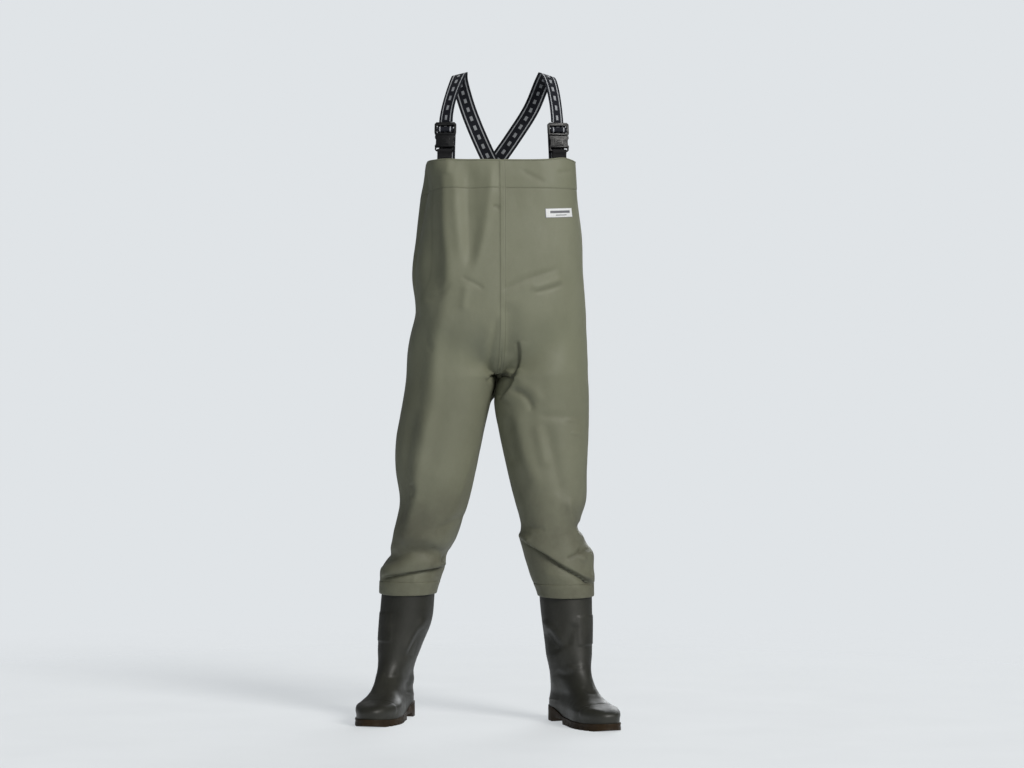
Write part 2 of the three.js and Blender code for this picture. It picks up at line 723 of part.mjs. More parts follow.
// The brace's free end, which hangs behind the buckle and shows on its inner side.
function braceTail(side) {
  const y = BUCKLE.halfDepth + 1.6 + BRACE_THICKNESS / 2;
  const strip = webbingStrip([[y, 56], [y, -30]], BRACE_THICKNESS, BRACE_WIDTH);
  return mesh(`${side}_brace_tail`, strip.translate(-4 * SIDES[side], 0, 0), "elastic");
}

function buckleTab(side) {
  const strip = webbingStrip(foldOverBar(6, BUCKLE.barHeight, 46), WEBBING_THICKNESS, TAB_WIDTH);
  return mesh(`${side}_buckle_tab`, strip.translate(0, 0, BUCKLE.barHeight / 2), "webbing");
}

// Stands a group on the bib's edge at t, with its origin a little above the edge and behind the
// facing. It faces as the fabric does, or part of the way to straight ahead.
function standOnBib(group, side, t, above, behind, forward = 0) {
  const edge = bibEdge(t);
  const fabricOut = fabricNormal(side, edge - 20, t);
  const ahead = onTrunk(0, -1, 0).sub(onTrunk(0, 0, 0)).setZ(fabricOut.z);
  const back = fabricOut.lerp(ahead, forward).normalize().negate();
  const up = new THREE.Vector3(0, 0, 1);
  up.addScaledVector(back, -back.z).normalize();
  const across = new THREE.Vector3().crossVectors(back, up);
  group.quaternion.setFromRotationMatrix(new THREE.Matrix4().makeBasis(across, back, up));
  group.position.copy(fabricPoint(side, edge, t)).addScaledVector(back, behind).addScaledVector(up, above);
  group.updateMatrixWorld(true);
  return group;
}

function frontBuckle(side) {
  const group = new THREE.Group();
  group.add(buckleHousing(side), buckleTab(side), buckleClip(side), adjusterLoop(side));
  group.add(clipArm(side, "outer"), clipArm(side, "inner"), braceTail(side));
  return standOnBib(group, side, BUCKLE_AT[side], 9, BUCKLE_TAB_BEHIND, BUCKLE_FORWARD);
}

// ---------------------------------------------------------------- braces

// A flat strip along a curve.
function ribbon(name, curve, steps) {
  const grid = (offset) =>
    Array.from({ length: steps + 1 }, (_, i) => {
      const p = curve.getPoint(i / steps);
      const along = curve.getTangent(i / steps);
      const out = p.clone().sub(faceFrom(p));
      out.addScaledVector(along, -out.dot(along)).normalize();
      const across = along.clone().cross(out).normalize();
      return [-0.5, 0, 0.5].map((k) =>
        p.clone().addScaledVector(across, k * BRACE_WIDTH).addScaledVector(out, offset),
      );
    });
  return mesh(name, thickSheet(grid(BRACE_THICKNESS / 2), grid(-BRACE_THICKNESS / 2)), "elastic");
}

// Place in the turned trunk's own frame, with x across the wearer.
function onTrunk(x, y, z) {
  const turned = new THREE.Vector2(x, y).rotateAround(new THREE.Vector2(), TRUNK_YAW);
  return new THREE.Vector3(turned.x + TRUNK_MID_X, turned.y, z);
}

// Place on a brace near the shoulder, with x from the shoulders' middle.
function shoulderPoint(side, x, y, z) {
  return onTrunk(SIDES[side] * x + SHOULDER_SHIFT, y, z);
}

// Where the braces' faces look away from: the chest, and further down the back a point straight
// ahead, so that the crossing braces lie flat on each other.
function faceFrom(p) {
  const down = THREE.MathUtils.smoothstep(p.y, 25, 105);
  const chest = new THREE.Vector3(TRUNK_MID_X, 10, 1250);
  const back = onTrunk(0, 300, 0).sub(onTrunk(0, 0, 0));
  return chest.lerp(p.clone().sub(back), down);
}

function frontBrace(side, buckle) {
  const start = buckle.localToWorld(new THREE.Vector3(0, BUCKLE.clipHalfDepth + 1.4, 69.8));
  const up = new THREE.Vector3(0, 0, 1).applyQuaternion(buckle.quaternion);
  const end = shoulderPoint(side, SHOULDER.x, SHOULDER.y - BRACE_JOIN, SHOULDER.z);
  const curve = new THREE.CubicBezierCurve3(
    start,
    start.clone().addScaledVector(up, 52),
    shoulderPoint(side, SHOULDER.x + 4, SHOULDER.y - 63, SHOULDER.z - 3),
    end,
  );
  return ribbon(`${side}_front_brace`, curve, 12);
}

// The braces cross behind, so each one ends at a ring on the other side of the back.
function backBrace(side, ring) {
  const sign = SIDES[side];
  const apart = sign * 3;
  const [end, beforeEnd] = [37, 55].map((z) => ring.localToWorld(new THREE.Vector3(0, 0, z)));
  const curve = new THREE.CatmullRomCurve3([
    shoulderPoint(side, SHOULDER.x, SHOULDER.y, SHOULDER.z),
    shoulderPoint(side, 96, 62, 1492),
    shoulderPoint(side, 74, 112, 1434),
    onTrunk(sign * 38 + SHOULDER_SHIFT / 2, 134 + apart, 1366),
    onTrunk(0, CROSS.y + apart, CROSS.z),
    beforeEnd,
    end,
  ]);
  return ribbon(`${side}_back_brace`, curve, 20);
}

function crossPatch() {
  const half = 27;
  const plan = [
    [-half, 0],
    [0, -half - 5],
    [half, 0],
    [0, half + 5],
  ];
  const patch = mesh("cross_patch", spread(plan, 0.7), "webbing");
  patch.position.copy(onTrunk(0, CROSS.y + 6.2, CROSS.z));
  patch.rotation.z = TRUNK_YAW;
  return patch;
}

const RING = { halfWidth: 24, height: 17, bar: 4, halfDepth: 2 };

// A rectangular ring on a webbing tab at the back of the bib. A brace's end is folded over it.
function backRing(side) {
  const { halfWidth, height, bar, halfDepth } = RING;
  const frame = toManifold(block(-halfWidth, halfWidth, -halfDepth, halfDepth, 0, height));
  const opening = block(bar - halfWidth, halfWidth - bar, -9, 9, bar, height - bar);
  const ring = mesh(`${side}_back_ring`, fromManifold(frame.subtract(toManifold(opening))), "plastic");
  const fold = (length) => webbingStrip(foldOverBar(2 * halfDepth, bar, length), WEBBING_THICKNESS, BRACE_WIDTH);
  const tab = mesh(`${side}_back_tab`, fold(42).translate(0, 0, bar / 2), "webbing");
  const upward = fold(20).rotateX(Math.PI).translate(0, 0, height - bar / 2);
  const group = new THREE.Group();
  group.add(ring, tab, mesh(`${side}_brace_end`, upward, "elastic"));
  standOnBib(group, side, BACK_RING_AT, 10, RING_TAB_BEHIND);
  group.rotateY(SIDES[side] * BACK_RING_TILT);
  group.updateMatrixWorld(true);
  return group;
}

// ---------------------------------------------------------------- assembly

const waders = new THREE.Group();
const buckles = { left: frontBuckle("left"), right: frontBuckle("right") };
const rings = { left: backRing("left"), right: backRing("right") };

waders.add(centreSeamTape("front_seam_tape", 0), centreSeamTape("back_seam_tape", 1));
waders.add(chestLabel(), crossPatch());
for (const [side, other] of [
  ["left", "right"],
  ["right", "left"],
]) {
  waders.add(fabricHalf(side), bibFacing(side), innerSeamTape(side), hemTape(side), boot(side));
  waders.add(buckles[side], rings[side], frontBrace(side, buckles[side]), backBrace(side, rings[other]));
}

// The origin is on the ground, under the middle of the whole object.
const bounds = new THREE.Box3().setFromObject(waders, true);
const centre = bounds.getCenter(new THREE.Vector3());
waders.position.set(-centre.x, -centre.y, -bounds.min.z);

export default waders;
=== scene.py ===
"""Chest waders standing as worn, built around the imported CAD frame.

Shapes are worked out in millimetres in the maker's frame, the one that part.mjs draws in, where
+Z is up, -Y is the front and +X is the wearer's left. place() turns them into the row's metres.
"""

import json
import math
from contextlib import contextmanager

import bmesh
import bpy
import numpy as np
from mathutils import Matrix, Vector, noise

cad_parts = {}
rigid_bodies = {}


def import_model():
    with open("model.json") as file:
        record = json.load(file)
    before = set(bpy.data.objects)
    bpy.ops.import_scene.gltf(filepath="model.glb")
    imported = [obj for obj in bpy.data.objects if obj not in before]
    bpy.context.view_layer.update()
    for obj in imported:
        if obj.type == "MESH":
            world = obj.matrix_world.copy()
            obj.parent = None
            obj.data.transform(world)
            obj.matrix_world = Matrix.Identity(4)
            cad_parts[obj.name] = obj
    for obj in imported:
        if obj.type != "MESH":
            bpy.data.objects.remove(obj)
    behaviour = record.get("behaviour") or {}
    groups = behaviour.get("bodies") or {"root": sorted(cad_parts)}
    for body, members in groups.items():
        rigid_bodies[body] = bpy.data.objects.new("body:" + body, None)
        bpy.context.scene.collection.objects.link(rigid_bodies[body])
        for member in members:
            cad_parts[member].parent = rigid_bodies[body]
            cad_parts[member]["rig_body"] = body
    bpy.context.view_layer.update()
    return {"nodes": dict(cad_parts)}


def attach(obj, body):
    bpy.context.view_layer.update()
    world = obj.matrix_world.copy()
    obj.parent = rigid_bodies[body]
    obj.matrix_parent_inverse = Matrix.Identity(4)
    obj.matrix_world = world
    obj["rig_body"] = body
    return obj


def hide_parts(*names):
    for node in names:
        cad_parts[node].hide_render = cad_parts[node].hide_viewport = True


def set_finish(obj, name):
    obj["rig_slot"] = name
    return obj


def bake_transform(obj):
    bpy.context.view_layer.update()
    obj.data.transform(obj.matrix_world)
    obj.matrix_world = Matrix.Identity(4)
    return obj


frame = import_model()

ORIGIN = np.array([29.25048, 23.5349, 0.0])  # the maker's origin, seen from the row's
SIDES = {"left": 1, "right": -1}

# ---------------------------------------------------------------- driving dimensions

FABRIC = 2.0
SEAM_GAP = 0.6
CROTCH_Z = 803.0
FORK_HEIGHT = 150.0
FORK_EASING = 10.0
TRUNK_YAW = math.radians(5)
TRUNK_MID_X = -5.0
BIB_FRONT_Z = 1306.0
BIB_BACK_Z = 1180.0
BIB_CORNER_RISE = 9.0
BIB_SAG = 5.5
CORNER_WORN_RISE = {"left": 6.0, "right": 1.0}
FACING_WIDTH = 71.0
WAIST_TOP_Z = 1015.0
HEM_BAND_Z = 322.0
HEM_Z = 293.0
SHAFT_TOP_Z = 335.0
INNER_SEAM_TOP_Z = 790.0
LEG_SQUARENESS = 2.15

# Height, wearer's right, wearer's left, front, back, exponent of the superellipse.
TRUNK = [
    [1322, -168, 171, -112, 108, 4.2],
    [1265, -177, 174, -124, 122, 3.8],
    [1213, -186, 178, -132, 130, 3.3],
    [1130, -196, 189, -140, 136, 2.9],
    [1040, -205, 193, -145, 142, 2.7],
    [960, -196, 198, -144, 150, 2.7],
    [900, -207, 200, -138, 156, 2.7],
    [803, -221, 205, -122, 152, 2.7],
]
# Height, inner side, outer side, front, back.
LEGS = {
    "left": [
        [803, -4, 205, -112, 128],
        [770, -10, 207, -110, 116],
        [740, -13, 208, -108, 108],
        [666, 0, 207, -106, 97],
        [591, 16, 203, -105, 86],
        [517, 35, 200, -103, 80],
        [461, 49, 186, -97, 78],
        [423, 46, 198, -92, 80],
        [386, 56, 216, -87, 84],
        [349, 68, 217, -81, 81],
        [312, 79, 218, -75, 72],
        [293, 84, 218, -72, 68],
    ],
    "right": [
        [803, -6, -221, -106, 132],
        [770, -16, -226, -102, 126],
        [740, -23, -231, -98, 122],
        [666, -40, -245, -86, 122],
        [591, -56, -247, -74, 122],
        [517, -72, -240, -60, 127],
        [461, -91, -248, -42, 138],
        [423, -104, -253, -28, 148],
        [386, -124, -263, -10, 158],
        [349, -132, -281, 4, 164],
        [312, -146, -284, 14, 161],
        [293, -151, -284, 19, 157],
    ],
}

BOOTS = {
    "left": {"ankle": (163, -4), "toe_out": 25, "lean": (-6, -8)},
    "right": {"ankle": (-246, 90), "toe_out": 16, "lean": (-5, -29)},
}
# Height, reach behind the ankle, reach in front, half width.
BOOT_SECTIONS = [
    [8, 74, 219, 36],
    [18, 77, 224, 38],
    [32, 80, 225, 40],
    [40, 81, 221, 41],
    [46, 80, 208, 41],
    [51, 79, 184, 41],
    [57, 78, 156, 40],
    [66, 76, 132, 39],
    [78, 72, 112, 38],
    [92, 66, 95, 38],
    [112, 60, 81, 38],
    [134, 57, 72, 42],
    [160, 58, 69, 48],
    [205, 62, 66, 54],
    [270, 65, 64, 59],
    [335, 65, 64, 60],
]
FOOT_PLAN = [[-80, 36], [-40, 38], [10, 36], [70, 43], [125, 52], [175, 52], [226, 46]]
SOLE_LINE = [[-90, 35], [-22, 33], [42, 18], [170, 15], [240, 19]]
INSTEP_TAPER = 0.2
TOE_TURN = 7.0
WELT = 3.0
GROOVE_LEVELS = (10.4, 8.6)
GROOVE_DEPTH = 0.9
BOOT_WALL = 3.5

BRACE_WIDTH = 38.0
BRACE_THICKNESS = 1.8
SHOULDER = (101.0, 12.0, 1508.0)
SHOULDER_SHIFT = 13.0
CROSS = (136.0, 1301.0)
WEBBING_THICKNESS = 1.2
TAB_WIDTH = 34.0
RING_TAB_BEHIND = 8.2
BUCKLE_TAB_BEHIND = 14.2
BUCKLE_AT = {"left": 0.202, "right": 0.222}
BUCKLE_FORWARD = 0.55
BACK_RING_AT = 0.935
BACK_RING_TILT = math.radians(32)
LABEL = {"at": 0.209, "z": 1179.0, "width": 71.0, "height": 21.5, "tilt": 0.055}

# The eye that the folds are laid out for: its place across and up, its distance, and how far in
# front of the maker's origin the folds' plane is.
EYE_X, EYE_Z, EYE_DISTANCE, FOLD_PLANE = 28.0, 786.0, 7000.0, 110.0
# The width that the camera takes in at that distance, and its sensor's width.
VIEW_WIDTH, SENSOR = 2385.92, 36.0

# ---------------------------------------------------------------- folds of the fabric

# Each fold is a line of (x, z) points, as seen from the front. Past the outline on either side
# they go on round the leg or trunk, with x measured along the fabric.
# "roll" is a ridge, or a valley where its amount is below 0. "lap" hangs over its line: the
# fabric above the line stands out and the fabric below is tucked in. Left of the direction of
# travel counts as above. Then: amount, reach above, reach below.
FOLDS = {
    "both": [
        # the chest's drapes under the wearer's right buckle
        ("roll", 4.5, 12, 14,
         [(-20, 1316), (-20, 1240), (-28, 1180), (-40, 1120), (-56, 1062), (-73, 1024)]),
        ("roll", -9.5, 26, 22, [(-66, 1316), (-71, 1215), (-69, 1140), (-70, 1080), (-77, 1030)]),
        ("roll", 5.0, 15, 15, [(-108, 1316), (-102, 1225), (-95, 1145), (-88, 1082), (-82, 1036)]),
        ("roll", -17.0, 38, 36, [(-166, 1300), (-170, 1215), (-168, 1120), (-170, 1050), (-184, 965)]),
        ("roll", 5.5, 16, 14,
         [(-124, 1330), (-130, 1215), (-127, 1130), (-120, 1070), (-124, 990), (-134, 940)]),
        ("roll", -2.0, 8, 8, [(-110, 1022), (-126, 1000), (-150, 986), (-180, 976)]),
        ("roll", 2.5, 9, 8, [(-118, 1308), (-119, 1262)]),
        # creases at the waist
        ("roll", -1.8, 5, 4, [(-92, 1034), (-62, 1019), (-34, 1003)]),
        ("roll", 2.4, 9, 9, [(-74, 1018), (-80, 985), (-84, 950)]),
        ("roll", -2.8, 8, 5, [(-4, 996), (28, 1012), (60, 1026), (98, 1038), (140, 1053)]),
        ("roll", 3.2, 8, 8, [(66, 1003), (104, 1014), (148, 1029)]),
        ("roll", -2.4, 6, 6, [(74, 996), (112, 1004), (150, 1016)]),
        ("roll", -1.8, 6, 6, [(46, 1279), (76, 1262), (108, 1247)]),
        ("roll", -1.4, 5, 5, [(130, 1270), (165, 1276)]),
        ("roll", -2.0, 4, 4, [(-16, 1196), (-8, 1193), (2, 1189)]),
        # folds that run down into the crotch
        ("roll", -3.2, 8, 7, [(-4, 950), (-12, 895), (-20, 850), (-25, 815), (-27, 780)]),
        ("roll", 2.0, 12, 12, [(-22, 935), (-33, 880), (-42, 830), (-46, 790)]),
        ("roll", -6.5, 22, 15, [(19, 980), (21, 915), (22, 868), (20, 828)]),
        ("lap", 2.6, 16, 9, [(43, 886), (46, 850), (38, 814), (30, 794)]),
        ("lap", 5.5, 16, 12, [(42, 826), (34, 806), (25, 784), (10, 764), (0, 750)]),
        ("lap", 7.0, 14, 14, [(-30, 793), (-16, 806), (2, 811), (16, 808), (32, 797)]),
    ],
    "left": [
        ("roll", -4.5, 8, 9, [(20, 774), (42, 768), (60, 755), (71, 738), (74, 718)]),
        ("roll", 3.0, 12, 12, [(34, 790), (62, 782), (84, 762), (92, 738)]),
        ("roll", -2.6, 12, 12, [(84, 716), (122, 712), (168, 708), (200, 700)]),
        ("roll", 2.4, 4, 4, [(148, 704), (172, 702), (188, 696)]),
        ("roll", 2.0, 4, 4, [(162, 674), (186, 670)]),
        ("roll", -5.0, 16, 16, [(104, 706), (118, 642), (131, 590), (142, 545), (150, 505)]),
        ("roll", 3.0, 13, 13, [(84, 700), (97, 640), (108, 585)]),
        ("roll", 5.0, 17, 17, [(38, 742), (47, 680), (60, 620), (80, 570), (92, 530)]),
        ("roll", -3.5, 14, 14, [(18, 716), (28, 650), (42, 590)]),
        ("roll", 6.0, 8, 9, [(160, 530), (162, 492), (167, 462), (178, 440), (194, 424)]),
        ("roll", -7.0, 10, 13, [(172, 472), (180, 462), (196, 458), (226, 462), (262, 470)]),
        ("roll", 4.0, 18, 16, [(184, 405), (212, 400), (250, 400), (290, 408)]),
        ("roll", -3.6, 4, 4, [(151, 386), (166, 391), (180, 400), (186, 414)]),
        ("roll", -3.2, 4, 4, [(180, 401), (206, 407)]),
        ("roll", 3.6, 8, 8, [(184, 380), (197, 391)]),
        ("roll", 3.2, 7, 7, [(198, 352), (208, 341)]),
        ("roll", 3.0, 6, 6, [(32, 442), (56, 436), (74, 424)]),
        ("lap", 7.0, 24, 14,
         [(44, 434), (60, 421), (100, 397), (142, 369), (176, 350), (212, 329), (222, 325)]),
        ("roll", 1.8, 10, 10, [(96, 352), (130, 344), (166, 330)]),
        ("roll", -2.2, 6, 6, [(56, 462), (78, 455), (108, 452)]),
        ("roll", -2.5, 9, 9, [(232, 372), (262, 366), (300, 372)]),
    ],
    "right": [
        # where the front of the leg turns to its side, and the hollow beside it
        ("roll", 6.0, 18, 24,
         [(-122, 1010), (-130, 945), (-143, 900), (-150, 830), (-156, 750), (-170, 670), (-182, 620)]),
        ("roll", 6.5, 15, 20,
         [(-158, 740), (-178, 640), (-190, 580), (-195, 520), (-210, 468), (-236, 415)]),
        ("roll", -8.0, 26, 34,
         [(-170, 975), (-182, 905), (-190, 830), (-198, 750), (-210, 680), (-218, 620)]),
        ("roll", -8.0, 18, 30,
         [(-204, 740), (-216, 650), (-222, 590), (-222, 530), (-234, 470), (-244, 430)]),
        ("roll", -1.6, 8, 8, [(-176, 900), (-164, 876), (-152, 858)]),
        ("roll", -3.0, 7, 7, [(-207, 560), (-199, 545), (-202, 520)]),
        ("roll", -4.0, 9, 9, [(-232, 402), (-260, 396), (-292, 398), (-330, 406)]),
        ("roll", -8.0, 15, 10,
         [(-290, 372), (-262, 379), (-238, 387), (-208, 397), (-178, 399), (-152, 394), (-126, 387)]),
        ("roll", 3.0, 14, 14, [(-240, 424), (-200, 436), (-158, 432), (-126, 420)]),
        ("roll", -3.0, 8, 8, [(-102, 400), (-124, 397), (-146, 404), (-166, 414)]),
        ("lap", 7.0, 20, 14,
         [(-276, 341), (-262, 345), (-225, 350), (-185, 357), (-150, 363), (-130, 368), (-119, 371)]),
        ("roll", 4.0, 11, 10, [(-276, 352), (-235, 366), (-190, 374), (-150, 376), (-120, 373)]),
        ("roll", -4.0, 4, 4, [(-138, 378), (-130, 384), (-124, 392)]),
        ("roll", 2.0, 9, 9, [(-206, 338), (-190, 330), (-176, 316)]),
        ("roll", -2.4, 8, 8, [(-74, 492), (-96, 478), (-122, 462), (-150, 452)]),
        ("roll", 2.2, 7, 7, [(-60, 640), (-74, 590), (-86, 545), (-98, 512)]),
    ],
}
# Folds behind, as (x, z) points seen from the front through the part.
BACK_FOLDS = {
    "both": [
        ("roll", -5.0, 16, 16, [(-120, 1150), (-104, 1080), (-96, 1010)]),
        ("roll", -5.0, 16, 16, [(118, 1150), (100, 1080), (94, 1010)]),
        ("roll", 4.0, 18, 18, [(-62, 1160), (-56, 1090), (-52, 1030)]),
        ("roll", 4.0, 18, 18, [(60, 1160), (54, 1090), (50, 1030)]),
        ("roll", -3.5, 9, 9, [(-150, 1000), (-90, 985), (-20, 996)]),
        ("roll", -3.5, 9, 9, [(150, 1006), (92, 992), (24, 1000)]),
    ],
    "left": [
        ("lap", 3.5, 28, 20, [(14, 830), (60, 800), (120, 792), (186, 806)]),
        ("roll", -4.5, 14, 12, [(40, 770), (90, 742), (150, 740)]),
        ("lap", 3.5, 18, 12, [(46, 520), (96, 506), (150, 510), (190, 524)]),
        ("roll", -5.0, 11, 11, [(52, 486), (100, 474), (172, 480)]),
        ("lap", 4.5, 18, 12, [(50, 446), (110, 432), (190, 440)]),
        ("roll", -5.0, 11, 11, [(62, 402), (120, 392), (206, 400)]),
        ("lap", 4.5, 16, 12, [(70, 366), (130, 356), (212, 350)]),
    ],
    "right": [
        ("lap", 3.5, 28, 20, [(-194, 800), (-130, 790), (-66, 800), (-18, 828)]),
        ("roll", -4.5, 14, 12, [(-160, 742), (-100, 740), (-48, 766)]),
        ("lap", 3.5, 18, 12, [(-228, 526), (-176, 510), (-120, 508), (-84, 520)]),
        ("roll", -5.0, 11, 11, [(-224, 482), (-160, 472), (-100, 484)]),
        ("lap", 4.5, 18, 12, [(-240, 444), (-170, 432), (-112, 444)]),
        ("roll", -5.0, 11, 11, [(-254, 404), (-190, 394), (-130, 402)]),
    ],
}
# Where a leg is squeezed against its neighbour or drawn in on its boot: share t, reach in t, lowest
# and highest height, softness, amount.
SQUEEZE = {
    "left": [(0.0, 0.12, 200, 322, 26, -5.0), (1.0, 0.12, 200, 322, 26, -5.0)],
    "right": [(0.93, 0.065, 752, 812, 14, 16.0)],
}
# Waves that the coated fabric has all over: size across, size up, amount.
WAVES = [(62, 110, 1.5), (26, 40, 0.5), (11, 15, 0.14)]

# ---------------------------------------------------------------- small mathematics


def smoothstep(x, low, high):
    u = np.clip((np.asarray(x, float) - low) / (high - low), 0, 1)
    return u * u * (3 - 2 * u)


def lerp(a, b, share):
    return a + (b - a) * share


def hump(x, middle, reach):
    """A bell of height 1."""
    return np.exp(-(((x - middle) / reach) ** 2))


def unit(v):
    return v / np.linalg.norm(v, axis=-1, keepdims=True)


def smooth_table(rows):
    """Cubic Hermite values through rows of [place, value, value...]."""
    table = np.array(sorted(rows), float)
    places, values = table[:, 0], table[:, 1:]
    last = len(places) - 1
    low = np.maximum(np.arange(last + 1) - 1, 0)
    high = np.minimum(np.arange(last + 1) + 1, last)
    slopes = (values[high] - values[low]) / (places[high] - places[low])[:, None]

    def at(place):
        p = np.clip(np.asarray(place, float), places[0], places[-1])
        i = np.clip(np.searchsorted(places, p) - 1, 0, last - 1)
        h = (places[i + 1] - places[i])[..., None]
        u = (p - places[i])[..., None] / h
        start = 2 * u**3 - 3 * u**2 + 1
        found = start * values[i] + (1 - start) * values[i + 1]
        found += (u**3 - 2 * u**2 + u) * h * slopes[i] + (u**3 - u**2) * h * slopes[i + 1]
        return np.moveaxis(found, -1, 0)

    return at


def superellipse(angle, exponent):
    """A point of a unit ellipse that squares up as the exponent goes above 2."""

    def power(v):
        return np.sign(v) * np.abs(v) ** (2 / exponent)

    return power(np.cos(angle)), power(np.sin(angle))


def turned(x, y, angle):
    return x * math.cos(angle) - y * math.sin(angle), x * math.sin(angle) + y * math.cos(angle)


def place(points):
    """Points of the maker's frame, in millimetres, as points of the row, in metres."""
    return (np.asarray(points, float) + ORIGIN) / 1000


def through(points, steps):
    """A smooth line through points, by centripetal Catmull-Rom pieces."""
    p = np.array(points, float)
    p = np.vstack([2 * p[0] - p[1], p, 2 * p[-1] - p[-2]])
    knots = np.concatenate([[0], np.cumsum(np.linalg.norm(np.diff(p, axis=0), axis=1) ** 0.5)])
    line = []
    for i in range(1, len(p) - 2):
        k = knots[i - 1 : i + 3]
        for s in np.linspace(k[1], k[2], steps, endpoint=i == len(p) - 3):
            a = [lerp(p[i - 1 + j], p[i + j], (s - k[j]) / (k[j + 1] - k[j])) for j in range(3)]
            b = [lerp(a[j], a[j + 1], (s - k[j]) / (k[j + 2] - k[j])) for j in range(2)]
            line.append(lerp(b[0], b[1], (s - k[1]) / (k[2] - k[1])))
    return np.array(line)


def line_distance(u, v, line):
    """Distance from points to a line, above 0 on its left, and how far along it they are."""
    a, ab = line[:-1], np.diff(line, axis=0)
    lengths = np.linalg.norm(ab, axis=1)
    du, dv = u[:, None] - a[:, 0], v[:, None] - a[:, 1]
    share = np.clip((du * ab[:, 0] + dv * ab[:, 1]) / lengths**2, 0, 1)
    distance = np.hypot(du - share * ab[:, 0], dv - share * ab[:, 1])
    nearest = distance.argmin(axis=1)
    each = np.arange(len(u))
    left = np.sign(ab[:, 0] * dv - ab[:, 1] * du)[each, nearest]
    before = np.concatenate([[0], np.cumsum(lengths)])
    along = before[nearest] + share[each, nearest] * lengths[nearest]
    return distance[each, nearest] * left, along / before[-1]


def fold_height(u, v, folds):
    """How far the folds move the fabric out, and how deep in a crease each point is, as painted shade for
    its colour.
    """
    height, crease_shade = np.zeros(len(u)), np.zeros(len(u))
    for kind, amount, above, below, points in folds:
        line = through(points, 6)
        margin = 3 * max(above, below)
        near = (u > line[:, 0].min() - margin) & (u < line[:, 0].max() + margin)
        near &= (v > line[:, 1].min() - margin) & (v < line[:, 1].max() + margin)
        if not near.any():
            continue
        d, along = line_distance(u[near], v[near], line)
        taper = 0.22 if kind == "roll" else 0.12
        ends = smoothstep(along, 0, taper) * smoothstep(1 - along, 0, taper)
        reach = np.where(d > 0, above, below)
        if kind == "roll":
            rise = amount * hump(d, 0, reach)
            sharpness = max(-amount, 0) / max(above, below)
            # painted shade along the bottom of a sharp valley
            dark = hump(d, 0, 3.5) * min(1, 1.6 * sharpness**2)
        else:
            rise = amount * np.tanh((d - 0.8) / 1.9) * np.exp(-((np.abs(d) / reach) ** 1.4))
            rise -= 0.5 * amount * hump(d, -2, 3.4)
            # painted shade just below the line, under the overhanging fabric
            dark = hump(d, -1.5, 3.0)
        height[near] += rise * ends
        crease_shade[near] = np.maximum(crease_shade[near], dark * ends)
    return height, crease_shade


def waves(points):
    """The small unevenness of the coated fabric, in millimetres."""
    found = np.zeros(len(points))
    for across, up, amount in WAVES:
        scale = np.array([1 / across, 1 / across, 1 / up])
        found += amount * np.array([noise.noise(Vector(p)) for p in points * scale])
    return found


# ---------------------------------------------------------------- the fabric's form

trunk_at = smooth_table(TRUNK)
leg_at = {side: smooth_table(rows) for side, rows in LEGS.items()}


def bib_edge(t):
    """The bib's top edge as it was cut, which the buckles and rings stand on."""
    drop = smoothstep(t, 0.42, 0.86)
    corner = hump(t, BUCKLE_AT["right"], 0.1)
    return lerp(BIB_FRONT_Z, BIB_BACK_Z, drop) + BIB_CORNER_RISE * corner


def worn_edge(side, t):
    """The bib's top edge as worn, which sags a little between the buckles."""
    drop = smoothstep(t, 0.47, 0.88)
    corner = hump(t, BUCKLE_AT["right"], 0.1)
    return lerp(BIB_FRONT_Z - BIB_SAG, BIB_BACK_Z, drop) + CORNER_WORN_RISE[side] * corner


def weld_line(t):
    """Height of the weld that holds the facing inside the bib."""
    return lerp(BIB_FRONT_Z, BIB_BACK_Z, smoothstep(t, 0.46, 0.88)) - FACING_WIDTH


def fabric_form(side, z, t, inset=0.0):
    """The smooth form under the folds, at height z and share t of the way from front to back."""
    z, t = np.broadcast_arrays(np.asarray(z, float), np.asarray(t, float))
    sign = SIDES[side]
    inner = leg_at[side](np.minimum(z, CROTCH_Z))[0]
    eased_z = CROTCH_Z - FORK_EASING * np.logaddexp(0, (CROTCH_Z - z) / FORK_EASING)
    _, outer, front, back = leg_at[side](eased_z)
    x, y = superellipse(math.pi * (2 * t - 1), LEG_SQUARENESS)
    leg_x = (inner + outer) / 2 + sign * x * (np.abs(outer - inner) / 2 - inset)
    leg_y = (front + back) / 2 + y * ((back - front) / 2 - inset)
    right, left, front, back, squareness = trunk_at(z)
    half = np.abs((left if sign > 0 else right) - TRUNK_MID_X) - SEAM_GAP / 2 - inset
    x, y = superellipse(math.pi * (t - 0.5), squareness)
    x, y = turned(sign * (x * half + SEAM_GAP / 2), y * ((back - front) / 2 - inset), TRUNK_YAW)
    rise = np.clip((z - CROTCH_Z) / FORK_HEIGHT, 0, 1)
    softness = 0.045 * smoothstep(np.minimum(t, 1 - t), 0, 0.1) + 1e-9
    bend = rise**3 / (rise**2 + softness)
    at_sides = 1 - smoothstep(rise, 0, 1)
    at_seam = 1 - np.sqrt(1 - (1 - bend) ** 2)
    leg_share = lerp(at_sides, at_seam, np.cos(math.pi * t) ** 4)
    x = lerp(x + TRUNK_MID_X, leg_x, leg_share)
    y = lerp(y + (front + back) / 2, leg_y, leg_share)
    return np.stack([x, y, z], -1)


def fabric_normal(side, z, t, dt=0.01, dz=4.0):
    """Direction out of the smooth form."""
    along = fabric_form(side, z, t + dt) - fabric_form(side, z, t - dt)
    down = fabric_form(side, z - dz, t) - fabric_form(side, z + dz, t)
    return unit(np.cross(along, down) * -SIDES[side])


def as_seen(x, y, z):
    """Where the eye in front sees a point, on the folds' plane."""
    scale = (EYE_DISTANCE - FOLD_PLANE) / (EYE_DISTANCE + y)
    return EYE_X + (x - EYE_X) * scale, EYE_Z + (z - EYE_Z) * scale


